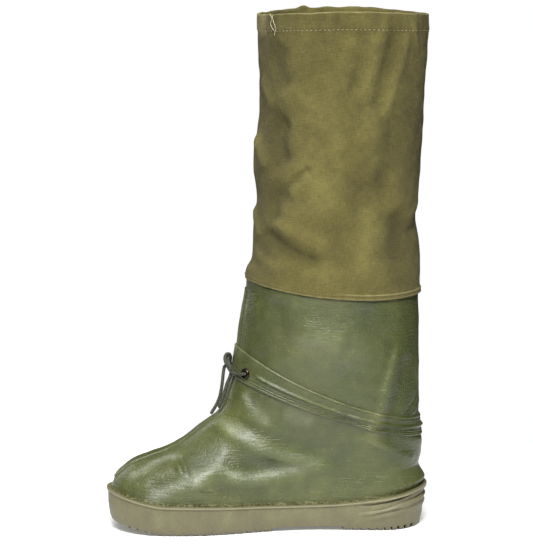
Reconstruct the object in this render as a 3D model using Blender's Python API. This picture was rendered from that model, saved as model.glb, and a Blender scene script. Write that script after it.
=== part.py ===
"""Winter overshoe for the right foot: cup sole, rubberised upper, canvas shaft, ankle lace.

Toe towards -X, inner (medial) side towards -Y, floor at z = 0, metres.
The sole and the upper are lofted through rings. A ring runs once round the foot: from the toe
along the medial side to the heel, and back along the lateral side.
"""

import math

import bmesh
import bpy
import numpy as np
from mathutils import Vector

# Sole
SOLE_LENGTH = 0.3265
BALL_WIDTH = 0.123
HEEL_HEIGHT = 0.043
RIM = 0.0035
TREAD_DEPTH = 0.003
TOE_SPRING = 0.008
ARCH_RISE = 0.0045
TOP_LIP = 0.0012
HEEL_LIP = 0.0026
HEEL_RIB = 0.0014
RIB_SWEEP = 0.20
FOREFOOT_PITCH = 0.009
HEEL_PITCH = 0.0075
GROOVE_WIDTH = 0.0034
INSOLE = 0.004

# Upper and shaft
UPPER_WALL = 0.0016
SEAM_HEIGHT = 0.258
CANVAS_WALL = 0.0012
CANVAS_TOP = 0.524
SHAFT_LENGTH = 0.1785
SHAFT_WIDTH = 0.134
SHAFT_SET_BACK = 0.0677
BINDING_STEP = 0.0006
HEM_STEP = 0.0007

# Overlays, lace and drawcord
TAPE = 0.0009
BAND_WALL = 0.0013
LACE = 0.0036
LACE_RIDGE = 0.6
EYELET_RADIUS = 0.0057
EYELET_HOLE = 0.0027
EYELET_THICKNESS = 0.0016
EYELET_ANGLE = 30.0
EYELET_LEVEL = 11.72
RIDGE_FADE = (6.0, 18.0)
DRAWCORD = 0.0022
LOCK_RADIUS = 0.005
LOCK_LENGTH = 0.015
BUTTON_RADIUS = 0.0038
BUTTON_LENGTH = 0.004
STEM_RADIUS = 0.0028
BORE_DEPTH = 0.003
GAP = 0.0003

HALF_SOLE = SOLE_LENGTH / 2
FEATHER = RIM + GAP
SHAFT_FRONT = SHAFT_SET_BACK - SHAFT_LENGTH / 2
SHAFT_BACK = SHAFT_SET_BACK + SHAFT_LENGTH / 2
LAP = CANVAS_WALL + GAP

# Half of a ring, from toe to heel: the angle on its front round, the share of its straight
# middle, or the angle on its back round.
FRONT_ANGLES = (0.0, 9.5, 20.0, 32.0, 45.0, 58.0, 73.0)
MIDDLE_SHARES = (0.0, 0.125, 0.25, 0.375, 0.5, 0.625, 0.75, 0.875, 1.0)
BACK_ANGLES = (73.0, 58.0, 45.0, 32.0, 20.0, 10.0, 0.0)

# The sole's round ends and the reach of its toe spring, as shares of its length.
TOE_ROUND = 0.16
HEEL_ROUND = 0.145
SPRING_FROM = 0.19

# The sole from above: share of the length from the toe, then its middle line towards the
# lateral side and its half width, as shares of the ball width.
OUTLINE = (
    # share, middle, half
    (0.00, -0.040, 0.400),
    (0.10, -0.012, 0.425),
    (0.17, 0.014, 0.456),
    (0.24, 0.036, 0.492),
    (0.30, 0.047, 0.500),
    (0.38, 0.058, 0.477),
    (0.50, 0.070, 0.412),
    (0.62, 0.062, 0.367),
    (0.74, 0.033, 0.362),
    (0.83, 0.012, 0.376),
    (0.91, 0.004, 0.383),
    (1.00, 0.000, 0.383),
)

# The sole from the side: share of the length from the toe, then the heights of its top edge
# and of the cup's floor above the tread's lowest face, as shares of HEEL_HEIGHT.
SOLE_HEIGHTS = (
    # share, top edge, cup floor
    (0.00, 0.814, 0.349),
    (0.05, 0.756, 0.340),
    (0.10, 0.740, 0.333),
    (0.25, 0.721, 0.326),
    (0.45, 0.663, 0.349),
    (0.60, 0.628, 0.372),
    (0.72, 0.663, 0.419),
    (0.82, 0.767, 0.477),
    (0.92, 0.895, 0.500),
    (1.00, 1.000, 0.512),
)

# The sole's side: share of its height, how far it stands out there, as a share of RIM, and how
# far the heel's ribs stand out, as a share of HEEL_RIB.
SIDE = (
    # height, out, rib
    (0.00, -2.14, 0.0),
    (0.05, -1.29, 0.0),
    (0.14, -0.74, 0.0),
    (0.28, -0.40, 0.0),
    (0.38, -0.23, 1.0),
    (0.48, -0.11, 0.1),
    (0.56, 0.0, 0.9),
    (0.62, 0.0, -0.9),
    (0.70, 0.0, 0.3),
    (0.90, 0.0, 0.0),
    (0.925, 0.0, 0.0),
    (1.00, 0.0, 0.0),
)
LIP_FROM = 0.92
SWEEP_OVER = (0.05, 0.82)
FOREFOOT_TREAD = (0.030, 0.510)
HEEL_TREAD = (0.733, 0.985)
RIBS_FROM = 0.77
RIB_FADE = 0.07

# The upper's rings, from the feather line up. Front and back are shares of the way from the
# feather line to the shaft, the rises are shares of the way from the sole's top edge to the
# canvas, sag is how far the ring hangs below its chord as a share of SEAM_HEIGHT, hug is how
# closely it follows the sole's top edge, width scales its half width, shaft is how far its
# outline has turned from the sole's to the shaft's, and the rounds are shares of its length.
RINGS = (
    # front, rise, back, rise, sag, hug, width, shaft, front round, back round
    (0.000, 0.000, 0.00, 0.000, 0.060, 1.0, 1.000, 0.00, 0.16, 0.15),
    (0.024, 0.046, -1.10, 0.023, 0.052, 0.8, 1.020, 0.00, 0.17, 0.15),
    (0.075, 0.083, -0.55, 0.047, 0.051, 0.5, 1.025, 0.00, 0.18, 0.16),
    (0.157, 0.122, 0.20, 0.070, 0.050, 0.3, 1.010, 0.01, 0.20, 0.16),
    (0.279, 0.152, 0.55, 0.093, 0.048, 0.1, 0.985, 0.03, 0.22, 0.17),
    (0.424, 0.182, 0.33, 0.116, 0.047, 0.0, 0.960, 0.08, 0.25, 0.19),
    (0.555, 0.228, 0.00, 0.140, 0.045, 0.0, 0.940, 0.15, 0.29, 0.22),
    (0.671, 0.286, -0.18, 0.165, 0.042, 0.0, 0.930, 0.24, 0.33, 0.25),
    (0.772, 0.333, -0.25, 0.186, 0.038, 0.0, 0.925, 0.33, 0.36, 0.28),
    (0.825, 0.382, -0.25, 0.202, 0.034, 0.0, 0.930, 0.42, 0.38, 0.30),
    (0.860, 0.450, -0.18, 0.219, 0.028, 0.0, 0.940, 0.51, 0.39, 0.32),
    (0.897, 0.528, 0.13, 0.237, 0.023, 0.0, 0.950, 0.60, 0.40, 0.34),
    (0.914, 0.597, 0.46, 0.284, 0.031, 0.0, 0.960, 0.68, 0.41, 0.36),
    (0.933, 0.675, 0.60, 0.335, 0.043, 0.0, 0.970, 0.76, 0.41, 0.38),
    (0.950, 0.759, 0.65, 0.460, 0.045, 0.0, 0.980, 0.85, 0.41, 0.40),
    (0.974, 0.861, 0.78, 0.637, 0.033, 0.0, 0.990, 0.93, 0.42, 0.41),
    (0.994, 0.944, 0.85, 0.814, 0.026, 0.0, 0.990, 0.98, 0.43, 0.43),
    (1.000, 1.000, 1.05, 0.935, 0.025, 0.0, 0.997, 1.00, 0.43, 0.43),
    (1.025, 1.050, 1.65, 1.000, 0.022, 0.0, 0.972, 1.00, 0.43, 0.43),
)
BAND_ROWS = (11.0, 11.5, 11.8, 12.0, 12.2, 12.5, 13.0)
BAND_LIFT = {11.8: 0.45, 12.0: 1.0, 12.2: 0.45}
TAPE_RINGS = (1, 16)

# The canvas shaft's rings, from its lower edge up. Rises are shares of the way from the seam
# to the top, front and back are how far it stands out past the shaft at the seam, as shares
# of SHAFT_LENGTH, and width is a share of SHAFT_WIDTH.
CANVAS_RINGS = (
    # front rise, back rise, front, back, sag, width
    (-0.004, -0.058, 0.000, 0.003, 0.024, 1.000),
    (0.015, -0.039, -0.003, 0.000, 0.022, 1.000),
    (0.036, -0.018, -0.012, -0.005, 0.018, 0.995),
    (0.071, 0.038, -0.036, -0.006, 0.008, 0.988),
    (0.139, 0.124, -0.044, -0.004, 0.003, 0.982),
    (0.233, 0.226, -0.053, -0.022, 0.0, 0.980),
    (0.316, 0.316, -0.062, -0.014, 0.0, 0.982),
    (0.402, 0.402, -0.043, -0.008, 0.0, 0.985),
    (0.489, 0.489, -0.051, 0.000, 0.0, 0.987),
    (0.571, 0.571, -0.072, 0.010, 0.0, 0.990),
    (0.684, 0.684, -0.079, 0.017, 0.0, 0.993),
    (0.797, 0.797, -0.082, 0.022, -0.004, 0.996),
    (0.930, 0.930, -0.074, 0.033, -0.012, 1.000),
    (1.000, 1.000, -0.075, 0.032, -0.018, 1.000),
)
CANVAS_ROUND = 0.43
BINDING_ROWS = (0.0, 1.0, 1.95)
HEM_ROWS = (12.06, 12.5, 13.0)

# The lace: its knot in front of the ankle, the last stretch of each bar up to the knot, and its
# two free ends, which hang down to the instep. A row gives the level on the upper's front, and
# then how far aside, towards the lateral side, and how far out, as shares of LACE.
KNOT = (12.05, -1.25, 2.28)
KNOT_RADII = (1.17, 1.33, 1.28)
LACE_TO_KNOT_MEDIAL = (
    # level, aside, out
    (11.25, -3.53, 1.00),
    (11.53, -2.61, 1.67),
    (11.78, -2.03, 1.95),
)
LACE_TO_KNOT_LATERAL = (
    # level, aside, out
    (11.66, 2.50, 1.31),
    (11.93, 1.17, 1.53),
    (11.99, 0.11, 1.75),
)
LACE_END_LONG = (
    # level, aside, out
    (11.84, -1.11, 3.20),
    (11.68, -1.11, 3.47),
    (11.38, -1.17, 3.33),
    (10.93, -1.22, 2.92),
    (10.46, -1.25, 2.36),
    (9.97, -1.25, 1.97),
    (9.46, -1.17, 1.78),
    (8.75, -1.06, 1.92),
    (7.89, -0.83, 2.03),
)
LACE_END_SHORT = (
    # level, aside, out
    (11.74, -0.89, 2.08),
    (11.51, -0.64, 1.92),
    (11.15, -0.83, 1.67),
    (10.79, -1.56, 1.44),
    (10.41, -2.22, 1.31),
    (9.91, -2.50, 1.17),
    (9.44, -2.50, 1.19),
    (8.96, -2.36, 1.33),
    (8.56, -2.22, 1.47),
)

# The drawcord's two ends, which come out of the hem on the lateral side, and the lock on them.
# A row gives how far behind the shaft's middle and below its top, as shares of LOCK_LENGTH, and
# how far out from the shaft's side, as a share of LOCK_RADIUS.
LOCK = (0.0, 1.18, 2.60)
CORD_ASIDE = 0.10
DRAWCORD_END = (
    # behind, out, below
    (0.48, 0.54, 0.67),
    (0.36, 0.76, 1.13),
    (0.15, 1.08, 1.77),
    (CORD_ASIDE, 1.18, 2.27),
    (CORD_ASIDE, 1.18, 3.00),
    (0.20, 1.08, 3.65),
    (0.41, 0.86, 4.35),
)
LEVEL_STEP = 0.02


def curve(rows, place):
    """The columns' values at a place, on a smooth curve through a table's rows."""
    rows = np.asarray(rows, float)
    at, values = rows[:, 0], rows[:, 1:]
    slopes = np.gradient(values, at, axis=0)
    i = int(np.clip(np.searchsorted(at, place) - 1, 0, len(at) - 2))
    step = at[i + 1] - at[i]
    t = (place - at[i]) / step
    return (
        (2 * t**3 - 3 * t**2 + 1) * values[i]
        + (t**3 - 2 * t**2 + t) * step * slopes[i]
        + (3 * t**2 - 2 * t**3) * values[i + 1]
        + (t**3 - t**2) * step * slopes[i + 1]
    )


def numbered(rows):
    """A table with each row's number as its first column."""
    return [(i, *row) for i, row in enumerate(rows)]


RING_CURVE = numbered(RINGS)
CANVAS_CURVE = numbered(CANVAS_RINGS)


def mix(a, b, share):
    return a + (b - a) * share


def smooth_step(share):
    share = min(max(share, 0.0), 1.0)
    return share * share * (3 - 2 * share)


def from_toe(x):
    """The share of the sole's length from the toe."""
    return min(max((x + HALF_SOLE) / SOLE_LENGTH, 0.0), 1.0)


def tread_z(x):
    """The height of the tread's face: flat, but rising to the toe."""
    rise = smooth_step((SPRING_FROM - from_toe(x)) / SPRING_FROM)
    return TOE_SPRING * rise


def top_edge_z(x):
    return tread_z(x) + curve(SOLE_HEIGHTS, from_toe(x))[0] * HEEL_HEIGHT


def cup_floor_z(x):
    return tread_z(x) + curve(SOLE_HEIGHTS, from_toe(x))[1] * HEEL_HEIGHT


def columns():
    """The columns of a ring, in order: (side, x on its front round, middle or back round)."""
    half = [("front", a) for a in FRONT_ANGLES]
    half += [("middle", m) for m in MIDDLE_SHARES]
    half += [("back", a) for a in BACK_ANGLES]
    medial = [(-1.0, *place) for place in half]
    lateral = [(1.0, *place) for place in half[-2:0:-1]]
    return medial + lateral


COLUMNS = columns()


def plan(front, back, front_round, back_round, column):
    """(x, reach) of a column on a ring: reach is 1 at the ring's full half width."""
    _, place, amount = column
    if place == "middle":
        return mix(front + front_round, back - back_round, amount), 1.0
    angle = math.radians(amount)
    if place == "front":
        return front + front_round * (1 - math.cos(angle)), math.sin(angle)
    return back - back_round * (1 - math.cos(angle)), math.sin(angle)


def sole_ring(out, height):
    """A ring that stands out from the sole's outline. height gives z from x."""
    ring = []
    for column in COLUMNS:
        x, reach = plan(
            -HALF_SOLE - out,
            HALF_SOLE + out,
            TOE_ROUND * SOLE_LENGTH + out,
            HEEL_ROUND * SOLE_LENGTH + out,
            column,
        )
        middle, half = curve(OUTLINE, from_toe(x)) * BALL_WIDTH
        ring.append((x, middle + column[0] * reach * (half + out), height(x)))
    return ring


def upper_point(level, column):
    """A point on the upper's outer face. level counts the rows of RINGS."""
    front, front_rise, back, back_rise, sag, hug, width, shaft, front_round, back_round = (
        curve(RING_CURVE, level)
    )
    x_front = mix(FEATHER - HALF_SOLE, SHAFT_FRONT + LAP, front)
    x_back = mix(HALF_SOLE - FEATHER, SHAFT_BACK - LAP, back)
    length = x_back - x_front
    x, reach = plan(x_front, x_back, front_round * length, back_round * length, column)
    middle, half = curve(OUTLINE, from_toe(x)) * BALL_WIDTH
    half = mix(half - FEATHER, SHAFT_WIDTH / 2 - LAP, shaft) * width
    y = mix(middle, 0.0, shaft) + column[0] * reach * half

    toe_edge, heel_edge = top_edge_z(-HALF_SOLE), top_edge_z(HALF_SOLE)
    along = (x - x_front) / length
    chord = mix(
        mix(toe_edge, SEAM_HEIGHT, front_rise),
        mix(heel_edge, SEAM_HEIGHT, back_rise),
        along,
    )
    hanging = chord - sag * SEAM_HEIGHT * 4 * along * (1 - along)
    hugging = top_edge_z(x) + mix(front_rise, back_rise, along) * SEAM_HEIGHT
    return np.array((x, y, mix(hanging, hugging, hug)))


def canvas_point(level, column):
    """A point on the canvas shaft's outer face. level counts the rows of CANVAS_RINGS."""
    front_rise, back_rise, front, back, sag, width = curve(CANVAS_CURVE, level)
    x_front = SHAFT_FRONT - front * SHAFT_LENGTH
    x_back = SHAFT_BACK + back * SHAFT_LENGTH
    length = x_back - x_front
    rounding = CANVAS_ROUND * length
    x, reach = plan(x_front, x_back, rounding, rounding, column)
    along = (x - x_front) / length
    rise = mix(front_rise, back_rise, along) - sag * 4 * along * (1 - along)
    z = mix(SEAM_HEIGHT, CANVAS_TOP, rise)
    return np.array((x, column[0] * reach * SHAFT_WIDTH / 2 * width, z))


def grid(point, levels):
    """The points of a surface and its outward normals, by level and column."""
    points = np.array([[point(level, c) for c in COLUMNS] for level in levels])
    up = np.array(
        [
            [point(lv + LEVEL_STEP, c) - point(lv - LEVEL_STEP, c) for c in COLUMNS]
            for lv in levels
        ]
    )
    round_it = np.roll(points, -1, axis=1) - np.roll(points, 1, axis=1)
    normals = np.cross(round_it, up)
    normals /= np.linalg.norm(normals, axis=2)[:, :, None]
    return points, normals


def material(name, colour, roughness, metallic=0.0):
    """A material from its colour as a hex string."""
    made = bpy.data.materials.new(name)
    made.use_nodes = True
    shader = made.node_tree.nodes["Principled BSDF"]
    srgb = [int(colour[i : i + 2], 16) / 255 for i in (0, 2, 4)]
    linear = [c / 12.92 if c <= 0.04045 else ((c + 0.055) / 1.055) ** 2.4 for c in srgb]
    shader.inputs["Base Color"].default_value = (*linear, 1.0)
    shader.inputs["Roughness"].default_value = roughness
    shader.inputs["Metallic"].default_value = metallic
    made.diffuse_color = (*linear, 1.0)
    return made


def add_mesh(name, points, faces, finish, location=(0.0, 0.0, 0.0)):
    """An object from points and faces, with its faces turned outwards."""
    mesh = bpy.data.meshes.new(name)
    mesh.from_pydata([tuple(float(c) for c in p) for p in points], [], faces)
    solid = bmesh.new()
    solid.from_mesh(mesh)
    bmesh.ops.recalc_face_normals(solid, faces=solid.faces)
    solid.to_mesh(mesh)
    solid.free()
    mesh.shade_smooth()
    mesh.set_sharp_from_angle(angle=math.radians(35))
    made = bpy.data.objects.new(name, mesh)
    made.location = location
    bpy.context.scene.collection.objects.link(made)
    if finish:
        made.data.materials.append(finish)
    return made


def band_of_faces(rows, count, closed=True, first=0):
    """Triangles between neighbouring rows of count points each."""
    faces = []
    for row in range(rows - 1):
        for i in range(count if closed else count - 1):
            a, b = first + row * count + i, first + row * count + (i + 1) % count
            faces += [(a, b, b + count), (a, b + count, a + count)]
    return faces


def cap_faces(count, first):
    """Triangles across a ring, in strips from its medial to its lateral side."""
    faces = [(first, first + 1, first + count - 1)]
    for i in range(1, count // 2 - 1):
        a, b = first + i, first + i + 1
        c, d = first + count - i - 1, first + count - i
        faces += [(a, b, c), (a, c, d)]
    last = first + count // 2
    return [*faces, (last - 1, last, last + 1)]


def add_stack(name, rings, finish):
    """A solid through closed rings, capped at both ends."""
    count = len(COLUMNS)
    points = [p for ring in rings for p in ring]
    faces = band_of_faces(len(rings), count)
    faces += cap_faces(count, 0) + cap_faces(count, count * (len(rings) - 1))
    return add_mesh(name, points, faces, finish)


def add_wall(name, outer, inner, finish):
    """A tube with a wall, from the grids of its outer and its inner face."""
    count = len(COLUMNS)
    loop = [*outer, *inner[::-1], outer[0]]
    points = [p for ring in loop[:-1] for p in ring]
    faces = band_of_faces(len(loop) - 1, count)
    last = count * (len(loop) - 2)
    for i in range(count):
        j = (i + 1) % count
        faces += [(last + i, last + j, j), (last + i, j, i)]
    return add_mesh(name, points, faces, finish)


def add_box(name, low, high):
    """A cutter between two corners."""
    corners = [
        (x, y, z) for x in (low[0], high[0]) for y in (low[1], high[1]) for z in (low[2], high[2])
    ]
    faces = [(0, 1, 3, 2), (4, 6, 7, 5), (0, 4, 5, 1), (2, 3, 7, 6), (0, 2, 6, 4), (1, 5, 7, 3)]
    cutter = add_mesh(name, corners, faces, None)
    cutter.hide_render = True
    cutter.display_type = "WIRE"
    return cutter


def joined(name, cutters):
    """One cutter from several that don't touch."""
    points, faces = [], []
    for cutter in cutters:
        first = len(points)
        points += [tuple(v.co) for v in cutter.data.vertices]
        faces += [[first + i for i in p.vertices] for p in cutter.data.polygons]
        bpy.data.objects.remove(cutter)
    made = add_mesh(name, points, faces, None)
    made.hide_render = True
    made.display_type = "WIRE"
    return made


def cut(solid, cutter):
    made = solid.modifiers.new(cutter.name, "BOOLEAN")
    made.operation = "DIFFERENCE"
    made.solver = "EXACT"
    made.object = cutter


def add_tube(name, route, diameter, finish):
    """A cord along a smooth curve through its route's points."""
    route = numbered(route)
    long = sum(math.dist(a[1:], b[1:]) for a, b in zip(route, route[1:]))
    count = max(8, min(80, round(long / (2.2 * diameter))))
    line = bpy.data.curves.new(name, "CURVE")
    line.dimensions = "3D"
    line.bevel_depth = diameter / 2
    line.bevel_resolution = 2
    line.use_fill_caps = True
    spline = line.splines.new("POLY")
    spline.points.add(count)
    for i in range(count + 1):
        place = curve(route, (len(route) - 1) * i / count)
        spline.points[i].co = (*place, 1.0)
    made = bpy.data.objects.new(name, line)
    bpy.context.scene.collection.objects.link(made)
    line.materials.append(finish)
    return made


def add_turned(name, profile, centre, axis, finish, sides=20):
    """A solid turned about an axis through a centre. The profile is (radius, height) pairs
    round a closed outline, or starts and ends at radius 0."""
    points, faces, rings = [], [], []
    for radius, height in profile:
        if radius == 0:
            rings.append([len(points)] * sides)
            points.append((0.0, 0.0, height))
            continue
        rings.append([len(points) + i for i in range(sides)])
        for i in range(sides):
            angle = 2 * math.pi * i / sides
            points.append((radius * math.cos(angle), radius * math.sin(angle), height))
    if profile[0][0] > 0:
        rings.append(rings[0])
    for low, high in zip(rings, rings[1:]):
        for i in range(sides):
            j = (i + 1) % sides
            face = dict.fromkeys((low[i], low[j], high[j], high[i]))
            faces.append(tuple(face))
    made = add_mesh(name, points, faces, finish, centre)
    made.rotation_euler = Vector(axis).to_track_quat("Z", "Y").to_euler()
    return made


def tread_cutter():
    """The grooves between the cross bars, and the plain arch that is raised above the tread."""
    cutters = []
    reach = BALL_WIDTH
    for (start, stop), pitch in (
        (FOREFOOT_TREAD, FOREFOOT_PITCH),
        (HEEL_TREAD, HEEL_PITCH),
    ):
        first, last = (share * SOLE_LENGTH - HALF_SOLE for share in (start, stop))
        bars = int((last - first) / pitch)
        for i in range(1, bars):
            x = mix(first, last, i / bars)
            low = (x - GROOVE_WIDTH / 2, -reach, -0.01)
            high = (x + GROOVE_WIDTH / 2, reach, tread_z(x) + TREAD_DEPTH)
            cutters.append(add_box("groove", low, high))
    low = (FOREFOOT_TREAD[1] * SOLE_LENGTH - HALF_SOLE, -reach, -0.01)
    high = (HEEL_TREAD[0] * SOLE_LENGTH - HALF_SOLE, reach, ARCH_RISE)
    cutters.append(add_box("arch", low, high))
    return joined("tread_cutter", cutters)


def side_height(share, x):
    """The height of a line on the sole's side. The ribs' lines sweep up round the heel."""
    if SWEEP_OVER[0] < share < SWEEP_OVER[1]:
        share += RIB_SWEEP * 4 * share * (1 - share) * smooth_step(
            (from_toe(x) - RIBS_FROM) / (1 - RIBS_FROM)
        )
    return mix(tread_z(x), top_edge_z(x), share)


def add_outsole():
    rings = []
    for share, out, rib in SIDE:
        toe_out = heel_out = out = out * RIM
        if share > LIP_FROM:
            toe_out, heel_out = out + TOP_LIP, out + HEEL_LIP
        heel_out += rib * HEEL_RIB
        toe_ring, heel_ring = (
            sole_ring(either, lambda x, share=share: side_height(share, x))
            for either in (toe_out, heel_out)
        )
        heel = [smooth_step((from_toe(p[0]) - RIBS_FROM) / RIB_FADE) for p in toe_ring]
        rings.append(
            [
                tuple(mix(a, b, share) for a, b in zip(p, q))
                for p, q, share in zip(toe_ring, heel_ring, heel)
            ]
        )
    rings.append(sole_ring(-RIM, top_edge_z))
    rings.append(sole_ring(-RIM, cup_floor_z))
    sole = add_stack("outsole", rings, material("outsole", "87826a", 0.55))
    cut(sole, tread_cutter())
    return sole


def add_insole():
    inset = FEATHER + UPPER_WALL + 2 * GAP
    rings = [
        sole_ring(-inset, lambda x: cup_floor_z(x) + GAP),
        sole_ring(-inset, lambda x: cup_floor_z(x) + GAP + INSOLE),
    ]
    return add_stack("insole", rings, material("insole", "7c7350", 0.95))


def add_upper():
    """The wall from the cup's floor up to inside the canvas."""
    levels = sorted({*map(float, range(len(RINGS))), *BAND_ROWS})
    points, normals = grid(upper_point, levels)
    plain = [i for i, level in enumerate(levels) if level == int(level)]
    foot = np.array(sole_ring(-FEATHER, lambda x: cup_floor_z(x) + GAP))
    foot_inner = np.array(
        sole_ring(-FEATHER - UPPER_WALL, lambda x: cup_floor_z(x) + GAP)
    )
    outer = [foot, *points]
    inner = [foot_inner, *(points[i] - UPPER_WALL * normals[i] for i in plain)]
    return add_wall("upper", outer, inner, material("upper", "6a7346", 0.35))


def overlay(levels, inner_out, outer_out, kept):
    """Points and faces of an overlay on the upper over some neighbouring columns. inner_out
    and outer_out give how far its two faces stand out, from a level and a column's number."""
    points, normals = grid(upper_point, levels)
    count = len(kept)
    closed = count == len(COLUMNS)
    made = []
    for out in (inner_out, outer_out):
        made += [
            points[r, c] + normals[r, c] * out(level, c)
            for r, level in enumerate(levels)
            for c in kept
        ]
    rows = len(levels)
    outer = rows * count
    faces = band_of_faces(rows, count, closed)
    faces += band_of_faces(rows, count, closed, outer)
    for row in (0, rows - 1):
        for i in range(count if closed else count - 1):
            a, b = row * count + i, row * count + (i + 1) % count
            faces += [(a, b, b + outer), (a, b + outer, a + outer)]
    if not closed:
        for i in (0, count - 1):
            for row in range(rows - 1):
                a, b = row * count + i, (row + 1) * count + i
                faces += [(a, b, b + outer), (a, b + outer, a + outer)]
    return made, faces


def add_front_tape():
    first, last = TAPE_RINGS
    levels = sorted({*map(float, range(first, last + 1)), *BAND_ROWS})
    points, faces = overlay(
        levels,
        lambda level, c: GAP,
        lambda level, c: GAP + TAPE,
        (len(COLUMNS) - 1, 0, 1),
    )
    return add_mesh("front_seam_tape", points, faces, material("front_seam_tape", "697245", 0.33))


def over_tape(c):
    """How far the band stands out: it lies over the tape at the front."""
    return 2 * GAP + TAPE if c in (len(COLUMNS) - 1, 0, 1) else GAP


def ridge(level, c):
    """The ridge of the lace inside the band, which ends at the eyelets."""
    _, place, amount = COLUMNS[c]
    fade_from, fade_to = RIDGE_FADE
    past = (amount - EYELET_ANGLE - fade_from) / (fade_to - fade_from)
    ends = smooth_step(past) if place == "front" else 1.0
    return BAND_LIFT.get(level, 0.0) * LACE_RIDGE * LACE * ends


def add_ankle_band():
    points, faces = overlay(
        BAND_ROWS,
        lambda level, c: over_tape(c),
        lambda level, c: over_tape(c) + BAND_WALL + ridge(level, c),
        range(len(COLUMNS)),
    )
    return add_mesh("ankle_band", points, faces, material("ankle_band", "6a7346", 0.35))


def on_ankle(side, angle, level, out):
    """(point, outward normal) in front of the ankle, out from the upper."""
    column = (side, "front", angle)
    up = upper_point(level + LEVEL_STEP, column) - upper_point(level - LEVEL_STEP, column)
    along = upper_point(level, (side, "front", angle + 1)) - upper_point(
        level, (side, "front", angle - 1)
    )
    normal = np.cross(along, up) * -side
    normal /= np.linalg.norm(normal)
    return upper_point(level, column) + normal * out, normal


def before_ankle(level, aside, out):
    """A point of the lace: before the upper's front at a level, aside and out in laces."""
    column = (-1.0, "front", 0.0)
    up = upper_point(level + LEVEL_STEP, column) - upper_point(level - LEVEL_STEP, column)
    normal = np.array((-up[2], 0.0, up[0])) / np.linalg.norm(up)
    return upper_point(level, column) + normal * out * LACE + np.array((0.0, aside * LACE, 0.0))


def beside_hem(behind, out, below):
    """A point of the drawcord or its lock, on the shaft's lateral side."""
    return np.array(
        (
            SHAFT_SET_BACK + behind * LOCK_LENGTH,
            SHAFT_WIDTH / 2 + out * LOCK_RADIUS,
            CANVAS_TOP - below * LOCK_LENGTH,
        )
    )


def add_eyelets():
    metal = material("eyelet", "2c2d29", 0.35, 0.9)
    height, bevel = EYELET_THICKNESS, EYELET_THICKNESS / 3
    profile = (
        (EYELET_HOLE, 0.0),
        (EYELET_RADIUS, 0.0),
        (EYELET_RADIUS, height - bevel),
        (EYELET_RADIUS - bevel, height),
        (EYELET_HOLE + bevel, height),
        (EYELET_HOLE, height - bevel),
    )
    seat = GAP + BAND_WALL + GAP
    for name, side in (("eyelet_medial", -1.0), ("eyelet_lateral", 1.0)):
        centre, normal = on_ankle(side, EYELET_ANGLE, EYELET_LEVEL, seat)
        add_turned(name, profile, centre, normal, metal)


def add_lace():
    cord = material("lace", "3c4032", 0.85)
    out = 4 * GAP + BAND_WALL + EYELET_THICKNESS + LACE_RIDGE * LACE
    for name, side, angles, last in (
        ("lace_bar_medial", -1.0, (1.0, 0.72), LACE_TO_KNOT_MEDIAL),
        ("lace_bar_lateral", 1.0, (1.0, 0.75, 0.5), LACE_TO_KNOT_LATERAL),
    ):
        first = [
            on_ankle(side, EYELET_ANGLE * share, EYELET_LEVEL - 0.03 * (1 - share), out)[0]
            for share in angles
        ]
        add_tube(name, [*first, *(before_ankle(*row) for row in last)], LACE, cord)
    rings = [(math.cos(a) + 1e-9, math.sin(a)) for a in np.radians(range(-67, 68, 22))]
    profile = [(0, -1.0), *rings, (0, 1.0)]
    bean = add_turned("lace_knot", profile, before_ankle(*KNOT), (0, 0, 1), cord, 14)
    for vertex in bean.data.vertices:
        vertex.co = [c * r * LACE for c, r in zip(vertex.co, KNOT_RADII)]
    for name, rows in (("lace_end_long", LACE_END_LONG), ("lace_end_short", LACE_END_SHORT)):
        add_tube(name, [before_ankle(*row) for row in rows], LACE, cord)


def add_canvas():
    """The canvas tube, thicker at its bound lower edge and at its hem."""
    steps = {level: BINDING_STEP for level in BINDING_ROWS}
    steps |= {level: HEM_STEP for level in HEM_ROWS}
    levels = sorted({*steps, *map(float, range(2, len(CANVAS_RINGS) - 1))})
    points, normals = grid(canvas_point, levels)
    outer = [
        points[i] + normals[i] * steps.get(level, 0.0) for i, level in enumerate(levels)
    ]
    inner = [
        points[i]
        - normals[i] * (CANVAS_WALL + (HEM_STEP if level in HEM_ROWS else 0.0))
        for i, level in enumerate(levels)
        if level in (0.0, 12.06) or level == int(level)
    ]
    return add_wall("canvas_shaft", outer, inner, material("canvas_shaft", "706a3e", 0.9))


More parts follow.
